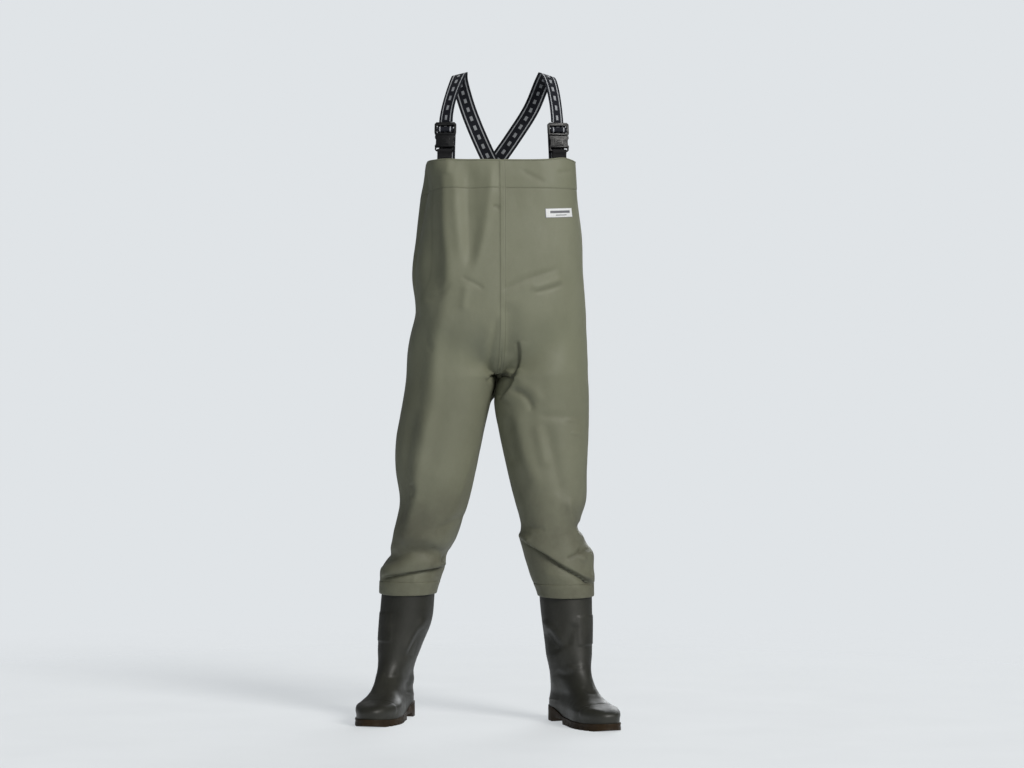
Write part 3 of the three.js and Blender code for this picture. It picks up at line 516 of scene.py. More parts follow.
class Sheet:
    """One half of the garment as a flat sheet: where its folds are drawn, and lengths along it."""

    def __init__(self, side):
        self.zs = np.arange(HEM_Z - 5, 1326, 4.0)
        self.shares = np.linspace(0, 1, 301)
        ts = (1 - np.cos(math.pi * self.shares)) / 2
        z, t = np.meshgrid(self.zs, ts, indexing="ij")
        form = fabric_form(side, z, t)
        u, v = as_seen(form[..., 0], form[..., 1], z)
        arc = np.linalg.norm(np.diff(form, axis=1), axis=2)
        arc = np.concatenate([np.zeros((len(self.zs), 1)), np.cumsum(arc, axis=1)], axis=1)
        side_on = 150
        over_side = t > 0.5
        outer = u[:, side_on, None] + SIDES[side] * (arc - arc[:, side_on, None])
        inner = u[:, :1] - SIDES[side] * (arc[:, -1:] - arc)
        far = 1e4
        self.outward = np.where(over_side, outer, u), np.where(over_side, v[:, side_on, None], v)
        self.inward = np.where(over_side & (z < CROTCH_Z), inner, far), np.broadcast_to(v[:, :1], v.shape)
        self.length = np.broadcast_to(arc[:, -1:], arc.shape)
        self.even = np.array([np.interp(self.shares * row[-1], row, ts) for row in arc])

    def read(self, grid, z, share):
        """Values of a grid at heights z and at shares 0 to 1 across it."""
        rows = np.clip((z - self.zs[0]) / 4.0, 0, len(self.zs) - 1.001)
        columns = np.clip(share * 300, 0, 299.999)
        r, c = rows.astype(int), columns.astype(int)
        fr, fc = rows - r, columns - c
        low = lerp(grid[r, c], grid[r, c + 1], fc)
        return lerp(low, lerp(grid[r + 1, c], grid[r + 1, c + 1], fc), fr)

    def drawn_at(self, grids, z, t):
        """Where the folds' drawing puts points of the fabric."""
        share = np.arccos(1 - 2 * np.clip(t, 0, 1)) / math.pi
        return [self.read(grid, z, share) for grid in grids]

    def evenly(self, z, share):
        """The t that lies a share of the fabric's length round from the front."""
        z, share = np.broadcast_arrays(np.asarray(z, float), np.asarray(share, float))
        return self.read(self.even, z, share)

    def measured(self, z, length, front):
        """The t that lies a length of fabric in from the front seam, or from the back one."""
        z = np.asarray(z, float)
        share = length / self.read(self.length, z, np.zeros(z.shape))
        return self.evenly(z, share if front else 1 - share)


sheets = {side: Sheet(side) for side in SIDES}


def fabric_relief(side, z, t, form):
    """How far the worn fabric stands off its form, and how deep in a crease it is, as painted shade."""
    sheet = sheets[side]
    folds = FOLDS["both"] + FOLDS[side]
    height, crease_shade = fold_height(*sheet.drawn_at(sheet.outward, z, t), folds)
    wrapped, wrapped_crease_shade = fold_height(*sheet.drawn_at(sheet.inward, z, t), FOLDS[side])
    behind, behind_crease_shade = fold_height(form[:, 0], z, BACK_FOLDS["both"] + BACK_FOLDS[side])
    leg = smoothstep(z, CROTCH_Z + 60, CROTCH_Z)
    share = smoothstep(t, 0.52, 0.64) * lerp(1, smoothstep(1 - t, 0.0, 0.1), leg)
    height += wrapped + behind * share + waves(form)
    crease_shade = np.maximum(np.maximum(crease_shade, wrapped_crease_shade), behind_crease_shade * share)
    for at, reach, low, high, soft, amount in SQUEEZE[side]:
        window = smoothstep(z, low - soft, low + soft) * smoothstep(high - z, -soft, soft)
        height += amount * hump(t, at, reach) * window
    above_weld = z - weld_line(t)
    height += 0.5 * smoothstep(above_weld, -1.2, 1.2) - 0.6 * hump(above_weld, 0, 1.8)
    # painted shade along the groove of the facing's weld
    weld = 0.4 * hump(above_weld, 0, 1.6)
    return height, np.maximum(crease_shade, weld)


def fabric_points(side, z, t, out=0.0):
    """Points on the worn fabric, out from its face, and how deep in a crease they are, as painted shade."""
    z, t, out = np.broadcast_arrays(z, t, out)
    shape = z.shape
    z, t, out = (np.asarray(a, float).ravel() for a in (z, t, out))
    form = fabric_form(side, z, t)
    relief, crease_shade = fabric_relief(side, z, t, form)
    normal = fabric_normal(side, z, np.clip(t, 0.004, 0.996), 0.004, 3.0)
    points = form + normal * (relief + out)[:, None]
    return points.reshape(*shape, 3), crease_shade.reshape(shape)


def share_per_mm(side, z, t, step=0.01):
    """How much t changes along one millimetre of the fabric."""
    return step / np.linalg.norm(fabric_form(side, z, t + step) - fabric_form(side, z, t), axis=-1)


# ---------------------------------------------------------------- materials

SKY_COLOUR = (0.93, 0.97, 1.0)


class Graph:
    """Short ways to add nodes in front of one Principled shader."""

    def __init__(self, name, roughness, specular=0.5, metallic=0.0):
        self.material = bpy.data.materials.new(name)
        self.material.use_nodes = True
        self.tree = self.material.node_tree
        self.shader = self.tree.nodes["Principled BSDF"]
        self.shader.inputs["Roughness"].default_value = roughness
        self.shader.inputs["Specular IOR Level"].default_value = specular
        self.shader.inputs["Metallic"].default_value = metallic
        self.where = self.tree.nodes.new("ShaderNodeTexCoord").outputs["Object"]

    def node(self, kind, inputs=(), **settings):
        """A new node, with values or sockets for its first inputs, in order."""
        made = self.tree.nodes.new(kind)
        for key, value in settings.items():
            setattr(made, key, value)
        for socket, given in zip(made.inputs, inputs):
            self.feed(socket, given)
        return made

    def feed(self, socket, value):
        if isinstance(value, bpy.types.NodeSocket):
            self.tree.links.new(value, socket)
        else:
            socket.default_value = value

    def noise(self, scale, detail=3.0, roughness=0.5, stretch=(1, 1, 1)):
        """Cloudy noise, 0 to 1, with its scale in features to the metre."""
        mapping = self.node("ShaderNodeMapping", [self.where])
        mapping.inputs["Scale"].default_value = stretch
        made = self.node("ShaderNodeTexNoise", [mapping.outputs["Vector"]])
        made.inputs["Scale"].default_value = scale
        made.inputs["Detail"].default_value = detail
        made.inputs["Roughness"].default_value = roughness
        return made.outputs["Fac"]

    def cells(self, scale):
        """Distance from the middles of small cells, for a moulded or coated grain."""
        made = self.node("ShaderNodeTexVoronoi", [self.where], feature="F1")
        made.inputs["Scale"].default_value = scale
        return made.outputs["Distance"]

    def spread(self, value, low, high, to_low=0.0, to_high=1.0):
        """A value from low to high, stretched to another range and kept inside it."""
        return self.node("ShaderNodeMapRange", [value, low, high, to_low, to_high]).outputs["Result"]

    def math(self, operation, a, b=0.0):
        return self.node("ShaderNodeMath", [a, b], operation=operation).outputs["Value"]

    def attribute(self, name):
        return self.node("ShaderNodeAttribute", attribute_name=name).outputs["Fac"]

    def mix(self, share, a, b):
        made = self.node("ShaderNodeMix", [share], data_type="RGBA")
        colours = [socket for socket in made.inputs if socket.type == "RGBA"]
        for socket, given in zip(colours, (a, b)):
            self.feed(socket, (*given, 1) if isinstance(given, tuple) else given)
        return next(socket for socket in made.outputs if socket.type == "RGBA")

    def mottled(self, scale, detail, dark, light, low=0.3, high=0.7):
        """Two colours in soft patches."""
        return self.mix(self.spread(self.noise(scale, detail), low, high), dark, light)

    def bump(self, height, distance, strength=1.0):
        made = self.node("ShaderNodeBump")
        made.inputs["Distance"].default_value = distance
        made.inputs["Strength"].default_value = strength
        self.feed(made.inputs["Height"], height)
        if self.shader.inputs["Normal"].is_linked:
            self.feed(made.inputs["Normal"], self.shader.inputs["Normal"].links[0].from_socket)
        self.feed(self.shader.inputs["Normal"], made.outputs["Normal"])

    def colour(self, value):
        self.feed(self.shader.inputs["Base Color"], value)

    def rough(self, value):
        self.feed(self.shader.inputs["Roughness"], value)


def coated_fabric():
    """Olive coated fabric, with a fine grain, faint mottling, a darkening towards the knees and shins, and
    painted shade in its creases, grooves and under its overlaps.
    """
    g = Graph("coated_fabric", 0.55, 0.3)
    base, light, wear_tone_and_crease_shade = (0.196, 0.204, 0.140), (0.222, 0.229, 0.164), (0.168, 0.172, 0.116)
    colour = g.mottled(5, 4, base, light, 0.35, 0.68)
    colour = g.mix(g.spread(g.noise(16, 5, 0.6, (1, 1, 0.5)), 0.45, 0.75, 0, 0.45), colour, wear_tone_and_crease_shade)
    colour = g.mix(g.spread(g.noise(420, 2), 0.3, 0.7, 0, 0.22), colour, wear_tone_and_crease_shade)
    # darker towards the knees and shins, in patches
    darkened_below = g.math("MULTIPLY", g.attribute("lower_darkening"), g.spread(g.noise(9, 5, 0.65), 0.3, 0.6, 0.5, 1))
    colour = g.mix(darkened_below, colour, (0.108, 0.107, 0.075))
    # painted shade in the creases, in the grooves of seams and welds, and under laps
    colour = g.mix(g.math("MULTIPLY", g.attribute("crease_shade"), 0.6), colour, (0.07, 0.07, 0.045))
    g.colour(colour)
    g.rough(g.spread(g.noise(24, 4), 0.3, 0.7, 0.47, 0.62))
    g.bump(g.noise(24, 4, 0.55), 0.0012, 0.5)
    g.bump(g.cells(1100), 0.00022, 0.55)
    g.bump(g.noise(2300, 1), 0.0001, 0.5)
    return g.material


def lining():
    """The fabric's uncoated inner side, a plain weave."""
    g = Graph("fabric_lining", 0.85, 0.2)
    g.colour(g.mix(g.spread(g.noise(300, 2), 0.3, 0.7), (0.12, 0.125, 0.095), (0.17, 0.172, 0.135)))
    g.bump(g.cells(900), 0.0004, 0.6)
    return g.material


def boot_pvc():
    g = Graph("boot_pvc", 0.45, 0.4)
    dark, light = (0.0165, 0.0165, 0.0125), (0.025, 0.025, 0.0195)
    colour = g.mottled(11, 4, dark, light, 0.35, 0.7)
    dust = g.spread(g.noise(26, 6, 0.7), 0.5, 0.78, 0, 0.5)
    colour = g.mix(dust, colour, (0.034, 0.033, 0.025))
    g.colour(colour)
    g.rough(g.spread(g.noise(38, 6, 0.65), 0.3, 0.75, 0.4, 0.58))
    g.bump(g.noise(30, 3), 0.0014, 0.35)
    g.bump(g.cells(1500), 0.00009, 0.35)
    return g.material


def sole_pvc():
    g = Graph("sole_pvc", 0.6, 0.18)
    colour = g.mottled(22, 5, (0.014, 0.0075, 0.0025), (0.027, 0.0155, 0.0055), 0.35, 0.7)
    g.colour(g.mix(g.spread(g.noise(120, 4), 0.55, 0.75, 0, 0.6), colour, (0.012, 0.009, 0.006)))
    g.rough(g.spread(g.noise(60, 5), 0.3, 0.7, 0.5, 0.78))
    g.bump(g.noise(160, 5, 0.6), 0.0005, 0.6)
    return g.material


def moulded_plastic():
    g = Graph("buckle_plastic", 0.38, 0.3)
    g.colour(g.mottled(70, 3, (0.0045, 0.0048, 0.0055), (0.008, 0.0083, 0.009)))
    g.rough(g.spread(g.noise(150, 4), 0.3, 0.7, 0.3, 0.45))
    g.bump(g.cells(2600), 0.00006, 0.5)
    return g.material


def steel():
    g = Graph("steel", 0.35, 0.5, 1.0)
    g.colour(g.mottled(40, 4, (0.42, 0.42, 0.43), (0.56, 0.56, 0.56)))
    g.rough(g.spread(g.noise(90, 5, 0.6, (1, 1, 6)), 0.3, 0.7, 0.28, 0.5))
    return g.material


def felt():
    g = Graph("insole_felt", 0.95, 0.15)
    g.colour(g.mottled(500, 4, (0.19, 0.19, 0.175), (0.29, 0.29, 0.27)))
    g.bump(g.noise(700, 4, 0.7), 0.0006, 0.7)
    return g.material


def webbing(name, dark, light, stripes):
    """Woven webbing. Its UV map is in metres, across from the middle and along."""
    g = Graph(name, 0.8, 0.28)
    parts = g.node("ShaderNodeSeparateXYZ")
    g.feed(parts.inputs[0], g.node("ShaderNodeUVMap", uv_map="metres").outputs["UV"])
    across, along = parts.outputs["X"], parts.outputs["Y"]
    picks = g.math("SINE", g.math("MULTIPLY", along, 2 * math.pi / 0.0011))
    ends = g.math("SINE", g.math("MULTIPLY", across, 2 * math.pi / 0.0016))
    weave = g.math("MULTIPLY", picks, ends)
    colour = g.mix(g.spread(weave, -1, 1), dark, light)
    if stripes:
        off = g.math("ABSOLUTE", across)
        stripe = g.spread(g.math("ABSOLUTE", g.math("SUBTRACT", off, 0.0122)), 0.0015, 0.0010)
        dash_side = g.spread(off, 0.0036, 0.0030)
        beat = g.math("FRACT", g.math("DIVIDE", along, 0.024))
        dash_end = g.spread(g.math("ABSOLUTE", g.math("SUBTRACT", beat, 0.5)), 0.25, 0.22)
        dash = g.math("MULTIPLY", dash_side, dash_end)
        mark = g.math("MULTIPLY", g.math("MAXIMUM", stripe, g.math("MULTIPLY", dash, 0.8)), 0.9)
        colour = g.mix(mark, colour, (0.5, 0.52, 0.55))
    g.colour(colour)
    g.bump(weave, 0.0003, 0.5)
    g.bump(g.noise(900, 3), 0.0002, 0.5)
    return g.material


def label_print():
    """A white woven-edged label with two plain bars. Its UV map is in metres from its middle."""
    g = Graph("label", 0.5, 0.4)
    parts = g.node("ShaderNodeSeparateXYZ")
    g.feed(parts.inputs[0], g.node("ShaderNodeUVMap", uv_map="metres").outputs["UV"])
    across, up = parts.outputs["X"], parts.outputs["Y"]

    def bar(middle_x, half_x, middle_y, half_y):
        x = g.spread(g.math("ABSOLUTE", g.math("SUBTRACT", across, middle_x)), half_x + 0.0003, half_x)
        y = g.spread(g.math("ABSOLUTE", g.math("SUBTRACT", up, middle_y)), half_y + 0.0003, half_y)
        return g.math("MULTIPLY", x, y)

    bars = g.math("MAXIMUM", bar(0.0, 0.026, 0.0022, 0.0027), bar(0.0, 0.014, -0.0052, 0.0008))
    frame_line = g.math("SUBTRACT", 1.0, bar(0.0, 0.0343, 0.0, 0.0096))
    ink = g.math("MAXIMUM", bars, g.math("MULTIPLY", frame_line, 0.7))
    paper = g.mottled(260, 3, (0.74, 0.75, 0.76), (0.83, 0.84, 0.85))
    g.colour(g.mix(g.math("MULTIPLY", ink, 0.85), paper, (0.05, 0.055, 0.07)))
    g.bump(g.cells(1800), 0.0001, 0.4)
    return g.material


def stitch_thread():
    g = Graph("thread", 0.7, 0.3)
    g.colour(g.mottled(900, 2, (0.022, 0.023, 0.026), (0.05, 0.052, 0.058)))
    g.bump(g.noise(3000, 1), 0.0002, 0.6)
    return g.material


def floor_paper():
    """Pale floor that fades out into the backdrop."""
    g = Graph("floor", 0.9, 0.2)
    g.colour(g.mottled(3, 2, (0.40, 0.41, 0.42), (0.43, 0.44, 0.45)))
    g.feed(g.shader.inputs["Emission Color"], (*SKY_COLOUR, 1))
    g.feed(g.shader.inputs["Emission Strength"], 0.46)
    parts = g.node("ShaderNodeVectorMath", operation="LENGTH")
    g.feed(parts.inputs[0], g.where)
    shown = g.spread(parts.outputs["Value"], 0.9, 2.9, 1.0, 0.0)
    g.feed(g.shader.inputs["Alpha"], shown)
    return g.material


def glow(name, colour):
    made = bpy.data.materials.new(name)
    made.use_nodes = True
    made.node_tree.nodes.remove(made.node_tree.nodes["Principled BSDF"])
    light = made.node_tree.nodes.new("ShaderNodeEmission")
    light.inputs["Color"].default_value = (*colour, 1)
    output = made.node_tree.nodes["Material Output"]
    made.node_tree.links.new(light.outputs["Emission"], output.inputs["Surface"])
    return made


MATERIALS = {
    "coated_fabric": coated_fabric(),
    "lining": lining(),
    "boot_pvc": boot_pvc(),
    "sole_pvc": sole_pvc(),
    "buckle_plastic": moulded_plastic(),
    "steel": steel(),
    "insole": felt(),
    "elastic": webbing("elastic", (0.006, 0.007, 0.011), (0.014, 0.016, 0.024), True),
    "webbing": webbing("webbing", (0.006, 0.006, 0.007), (0.017, 0.017, 0.019), False),
    "label": label_print(),
    "thread": stitch_thread(),
}

# ---------------------------------------------------------------- making pieces


def new_object(name, data):
    made = bpy.data.objects.new(name, data)
    bpy.context.scene.collection.objects.link(made)
    return made


@contextmanager
def editing(data):
    """A bmesh copy of a mesh, which is written back at the end."""
    mesh = bmesh.new()
    mesh.from_mesh(data)
    yield mesh
    mesh.to_mesh(data)
    mesh.free()


def piece(name, points, faces, material, body="waders", slot=None, replaces=(), ride=True, second=None):
    """A mesh of the row, from points in the maker's millimetres. second is (material, first face)."""
    data = bpy.data.meshes.new(name)
    data.from_pydata([tuple(p) for p in place(points)], [], faces)
    data.materials.append(MATERIALS[material])
    data.shade_smooth()
    if second:
        data.materials.append(MATERIALS[second[0]])
        for polygon in data.polygons[second[1] :]:
            polygon.material_index = 1
    made = new_object(name, data)
    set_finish(made, slot or material)
    if ride:
        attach(made, body)
    if replaces:
        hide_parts(*replaces)
    return made


def set_values(made, name, values):
    attribute = made.data.attributes.new(name, "FLOAT", "POINT")
    attribute.data.foreach_set("value", np.asarray(values, np.float32).ravel())


def set_metres(made, values):
    """A UV map in metres, from one (across, along) pair for each corner."""
    layer = made.data.uv_layers.new(name="metres")
    layer.data.foreach_set("uv", np.asarray(values, np.float32).ravel())


def apply_modifiers(made):
    """Turns a piece's modifiers into plain mesh."""
    bpy.context.view_layer.update()
    mesh = bpy.data.meshes.new_from_object(made.evaluated_get(bpy.context.evaluated_depsgraph_get()))
    made.modifiers.clear()
    made.data = mesh


def bevel_edges(made, width, segments, sharpest):
    """Rounds over the edges whose faces turn by more than an angle in degrees."""
    bevel = made.modifiers.new("bevel", "BEVEL")
    bevel.width = width
    bevel.segments = segments
    bevel.limit_method = "ANGLE"
    bevel.angle_limit = math.radians(sharpest)
    apply_modifiers(made)


def strip_faces(rows, columns, closed_rows=False, closed_columns=False):
    """Quads over a grid of points, row by row."""
    r, c = np.meshgrid(
        np.arange(rows if closed_rows else rows - 1),
        np.arange(columns if closed_columns else columns - 1),
        indexing="ij",
    )
    r2, c2 = (r + 1) % rows, (c + 1) % columns
    quads = [r * columns + c, r * columns + c2, r2 * columns + c2, r2 * columns + c]
    return np.stack(quads, -1).reshape(-1, 4).tolist()


def tube_faces(rows, ring):
    """Faces over rows of rings, with the first and the last ring filled in."""
    ends = [list(range(ring))[::-1], list(range((rows - 1) * ring, rows * ring))]
    return strip_faces(rows, ring, closed_columns=True) + ends


def tidy_normals(made):
    with editing(made.data) as mesh:
        bmesh.ops.recalc_face_normals(mesh, faces=mesh.faces)


def softened(name, node, width, material="buckle_plastic", segments=3):
    """A CAD part with its edges rounded over, in place of the CAD part."""
    source = frame["nodes"][node]
    data = source.data.copy()
    data.name = name
    with editing(data) as mesh:
        bmesh.ops.remove_doubles(mesh, verts=mesh.verts, dist=2e-6)
        bmesh.ops.dissolve_limit(mesh, angle_limit=math.radians(2), verts=mesh.verts, edges=mesh.edges)
    slot = source.get("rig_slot") or material
    data.materials.clear()
    data.materials.append(MATERIALS[material])
    made = new_object(name, data)
    bevel_edges(made, width / 1000, segments, 32)
    made.data.shade_smooth()
    made.data.set_sharp_from_angle(angle=math.radians(40))
    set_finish(made, slot)
    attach(made, source["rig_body"])
    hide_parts(node)


# ---------------------------------------------------------------- fabric

COLUMNS = 193
FACING_OFFSETS = np.array([4.2, 2.6, 1.4, 0.6, 0.0, -0.6, -1.4, -2.6, -4.2])
ROWS_FACING, ROWS_CHEST, ROWS_WAIST, ROWS_LEG = 20, 66, 67, 170
LEG_ROW = ROWS_FACING + len(FACING_OFFSETS) + ROWS_CHEST + ROWS_WAIST - 1


def fabric_grid(side):
    """Heights and shares of the fabric's mesh, evenly spaced along the fabric at every height."""
    sheet, share = sheets[side], np.linspace(0, 1, COLUMNS)
    edge = np.full(COLUMNS, BIB_FRONT_Z)
    weld = edge - FACING_WIDTH
    for _ in range(3):
        edge = worn_edge(side, sheet.evenly(edge, share))
        weld = weld_line(sheet.evenly(weld, share))
    parts = [
        np.linspace(edge, weld + 5.5, ROWS_FACING),
        weld + FACING_OFFSETS[:, None],
        np.linspace(weld - 5.5, WAIST_TOP_Z, ROWS_CHEST),
        np.linspace(WAIST_TOP_Z, CROTCH_Z, ROWS_WAIST + 1)[1:, None] + np.zeros(COLUMNS),
        np.linspace(CROTCH_Z, HEM_Z, ROWS_LEG + 1)[1:, None] + np.zeros(COLUMNS),
    ]
    z = np.concatenate(parts)
    t = sheet.evenly(z, share)
    z[0] = worn_edge(side, t[0])
    return z, t


def fabric_half(side):
    """Half of the garment as one closed sheet with its thickness, lined inside."""
    z, t = fabric_grid(side)
    rows = len(z)
    outer, crease_shade = fabric_points(side, z, t)
    inner, _ = fabric_points(side, z[::2, ::2], t[::2, ::2], -FABRIC)
    small = inner.shape[1]
    base = rows * COLUMNS

    def index(r, c):
        return r * COLUMNS + (0 if r >= LEG_ROW and c == COLUMNS - 1 else c)

    def inner_index(r, c):
        return base + r * small + (0 if 2 * r >= LEG_ROW and c == small - 1 else c)

    faces = [
        [index(r, c), index(r, c + 1), index(r + 1, c + 1), index(r + 1, c)]
        for r in range(rows - 1)
        for c in range(COLUMNS - 1)
    ]
    lining_from = len(faces)
    faces += [
        [inner_index(r, c), inner_index(r + 1, c), inner_index(r + 1, c + 1), inner_index(r, c + 1)]
        for r in range(inner.shape[0] - 1)
        for c in range(small - 1)
    ]
    rim_from = len(faces)
    for r, k in ((0, 0), (rows - 1, inner.shape[0] - 1)):
        for c in range(small - 1):
            rim = [index(r, 2 * c + step) for step in range(3)]
            rim += [inner_index(k, c + 1), inner_index(k, c)]
            faces.append(rim[::-1] if k == 0 else rim)
    for c, k in ((0, 0), (COLUMNS - 1, small - 1)):
        for r in range(LEG_ROW // 2):
            rim = [index(2 * r + step, c) for step in range(3)]
            rim += [inner_index(r + 1, k), inner_index(r, k)]
            faces.append(rim if k == 0 else rim[::-1])
    if SIDES[side] > 0:
        faces = [face[::-1] for face in faces]
    points = np.concatenate([outer.reshape(-1, 3), inner.reshape(-1, 3)])
    made = piece(
        f"{side}_waders_half", points, faces, "coated_fabric",
        replaces=[f"{side}_fabric_half"], second=("lining", lining_from),
    )
    for polygon in made.data.polygons[rim_from:]:
        polygon.use_smooth = False
        polygon.material_index = 0
    heights = np.concatenate([outer[..., 2].ravel(), inner[..., 2].ravel()])
    # painted shade in the creases of the outer face, none on the lining
    set_values(made, "crease_shade", np.concatenate([crease_shade.ravel(), np.zeros(inner.size // 3)]))
    set_values(made, "lower_darkening", lower_darkening(heights))
    with editing(made.data) as mesh:
        bmesh.ops.delete(mesh, geom=[v for v in mesh.verts if not v.link_faces], context="VERTS")


def lower_darkening(z):
    """How much darker the fabric is made: most at the knees and shins."""
    return 0.35 * smoothstep(z, 900, 720) + 0.65 * smoothstep(z, 640, 430)


def fabric_piece(name, points, crease_shade, replaces, closed=False):
    """A thin closed piece on the fabric, from a grid of rings [row][point of the section]."""
    rows, ring = points.shape[:2]
    faces = strip_faces(rows, ring, True, True) if closed else tube_faces(rows, ring)
    made = piece(name, points.reshape(-1, 3), faces, "coated_fabric", replaces=replaces)
    tidy_normals(made)
    # painted shade in its creases and grooves
    set_values(made, "crease_shade", crease_shade.ravel())
    set_values(made, "lower_darkening", lower_darkening(points[..., 2]))


# Half of a welded seam's section: millimetres from its middle, out from the fabric, painted shade in the
# groove at its edge.
SEAM_SECTION = [
    (0.0, 0.62, 0), (2.6, 0.66, 0), (4.6, 0.6, 0), (5.2, 0.36, 0.3), (5.7, 0.08, 0.85), (6.3, 0.1, 0.5),
    (7.2, 0.16, 0), (8.2, 0.12, 0), (8.9, -0.5, 0),
]


def seam(name, rings, node):
    """A seam over the fabric, from the (side, z, t, out, painted shade) of each line along it."""
    points, crease_shade = [], []
    for side, z, t, out, dark in rings:
        at, wear_tone_and_crease_shade = fabric_points(side, z, t, out)
        points.append(at)
        # painted shade: a weaker share of the fabric's crease shade, and the shade in the seam's groove
        crease_shade.append(np.maximum(wear_tone_and_crease_shade * 0.3, dark))
    fabric_piece(name, np.stack(points, 1), np.stack(crease_shade, 1), [node])


def centre_seam(name, front, node):
    """The overlapped seam down the middle, from the bib's edge to the crotch."""
    middle_t = 0.0 if front else 1.0
    top = min(worn_edge(side, middle_t) for side in SIDES) - 0.5
    z = np.concatenate([np.linspace(top, 880, 130), np.linspace(880, CROTCH_Z + 0.4, 60)[1:]])
    rings = []
    for side, section in (("right", SEAM_SECTION[::-1]), ("left", SEAM_SECTION)):
        for across, out, dark in section:
            t = sheets[side].measured(z, max(across, 0.05), front)
            # painted shade in the seam's groove
            rings.append((side, z, t, out, dark))
    seam(name, rings, node)


def inner_seam(side):
    """The welded tape down the inside of a leg."""
    z = np.linspace(INNER_SEAM_TOP_Z, HEM_BAND_Z + 1, 150)
    rings = []
    for front, section in ((True, SEAM_SECTION[::-1]), (False, SEAM_SECTION)):
        for across, out, dark in section:
            t = sheets[side].measured(z, max(across * 0.75, 0.05), front)
            # painted shade in the groove, lighter than on the middle seams
            rings.append((side, z, t, out, dark * 0.7))
    seam(f"{side}_inner_seam", rings, f"{side}_inner_seam_tape")


def bib_facing(side):
    """The doubled band inside the bib, turned over the edge in a soft roll."""
    share = np.linspace(0.001, 0.999, 190)
    t = sheets[side].evenly(BIB_FRONT_Z, share)
    for _ in range(3):
        edge = worn_edge(side, t)
        t = sheets[side].evenly(edge, share)
    down = np.linspace(-FACING_WIDTH, -8, 9)
    section = [(-3.6, rise) for rise in down] + [(-3.5, -1.0), (-3.0, 0.4), (-1.7, 1.1)]
    section += [(-0.3, 0.8), (0.45, -0.3), (0.5, -1.6), (0.2, -3.0), (-0.6, -3.2), (-2.4, -3.0)]
    section += [(-2.5, rise) for rise in down[::-1]]
    points = []
    for out, rise in section:
        at, _ = fabric_points(side, np.minimum(edge + rise, edge), t, out)
        at[:, 2] += max(rise, 0)
        points.append(at)
    points = np.stack(points, 1)
    crease_shade = np.zeros(points.shape[:2])
    # painted shade under the rolled edge, where it turns back in
    crease_shade[:, 14:16] = 0.35
    fabric_piece(f"{side}_bib_edge", points, crease_shade, [f"{side}_bib_facing"])


def hem_band(side):
    """The band that closes the leg onto the boot."""
    t = np.linspace(0, 1, 170, endpoint=False)
    band, hem = HEM_BAND_Z, HEM_Z
    section = [(-2.6, hem - 0.6), (-2.6, hem + 8), (-0.4, hem + 12), (-0.4, band), (0.25, band + 0.8)]
    section += [(1.0, band - 0.4), (1.25, band - 2.2), (1.2, hem + 20), (1.25, hem + 10), (1.3, hem + 2)]
    section += [(0.9, hem - 0.8), (-0.8, hem - 1.6)]
    points, crease_shade = [], []
    for out, z in section:
        wave = 1.3 * np.sin(2 * math.pi * (2 * t + 0.2)) if z < HEM_Z + 5 else 0
        at, wear_tone_and_crease_shade = fabric_points(side, z + wave, t, out)
        points.append(at)
        # painted shade: half the fabric's crease shade, and a dark line in the corner along the band's top
        # edge
        crease_shade.append(np.maximum(wear_tone_and_crease_shade * 0.5, 0.7 if abs(z - HEM_BAND_Z) < 1 and out < 1 else 0))
    points, crease_shade = np.stack(points, 1), np.stack(crease_shade, 1)
    fabric_piece(f"{side}_hem_band", points, crease_shade, [f"{side}_hem_tape"], closed=True)


def chest_label():
    """The small label on the wearer's left of the chest."""
    columns, rows = 49, 17
    a = np.linspace(-0.5, 0.5, columns) * LABEL["width"]
    b = np.linspace(0.5, -0.5, rows) * LABEL["height"]
    across, up = np.meshgrid(a, b)
    z = LABEL["z"] + up + across * LABEL["tilt"]
    per_mm = share_per_mm("left", LABEL["z"], LABEL["at"])
    t = LABEL["at"] + (across - up * LABEL["tilt"]) * per_mm
    edge = np.minimum(LABEL["width"] / 2 - np.abs(across), LABEL["height"] / 2 - np.abs(up))
    top, _ = fabric_points("left", z, t, 0.55 + 0.55 * smoothstep(edge, 0, 1.5))
    under, _ = fabric_points("left", z, t, -0.2)
    faces = strip_faces(rows, columns)
    count = rows * columns
    faces += [[i + count for i in face[::-1]] for face in faces]
    ring = [*range(columns), *[r * columns + columns - 1 for r in range(1, rows)]]
    ring += [*range(count - 2, count - columns - 1, -1), *[r * columns for r in range(rows - 2, 0, -1)]]
    faces += [[i, i + count, j + count, j] for i, j in zip(ring, ring[1:] + ring[:1])]
    points = np.concatenate([top.reshape(-1, 3), under.reshape(-1, 3)])
    made = piece("chest_label_patch", points, faces, "label", replaces=["chest_label"])
    tidy_normals(made)
    flat = np.stack([across.ravel(), up.ravel()], 1) / 1000
    set_metres(made, [flat[loop.vertex_index % count] for loop in made.data.loops])


# ---------------------------------------------------------------- boots

# In a boot's own frame +X runs from ankle to toe and +Y to the wearer's left.
boot_section_at = smooth_table(BOOT_SECTIONS)
foot_half_at = smooth_table(FOOT_PLAN)
SOLE_X, SOLE_Z = np.array(SOLE_LINE, float).T

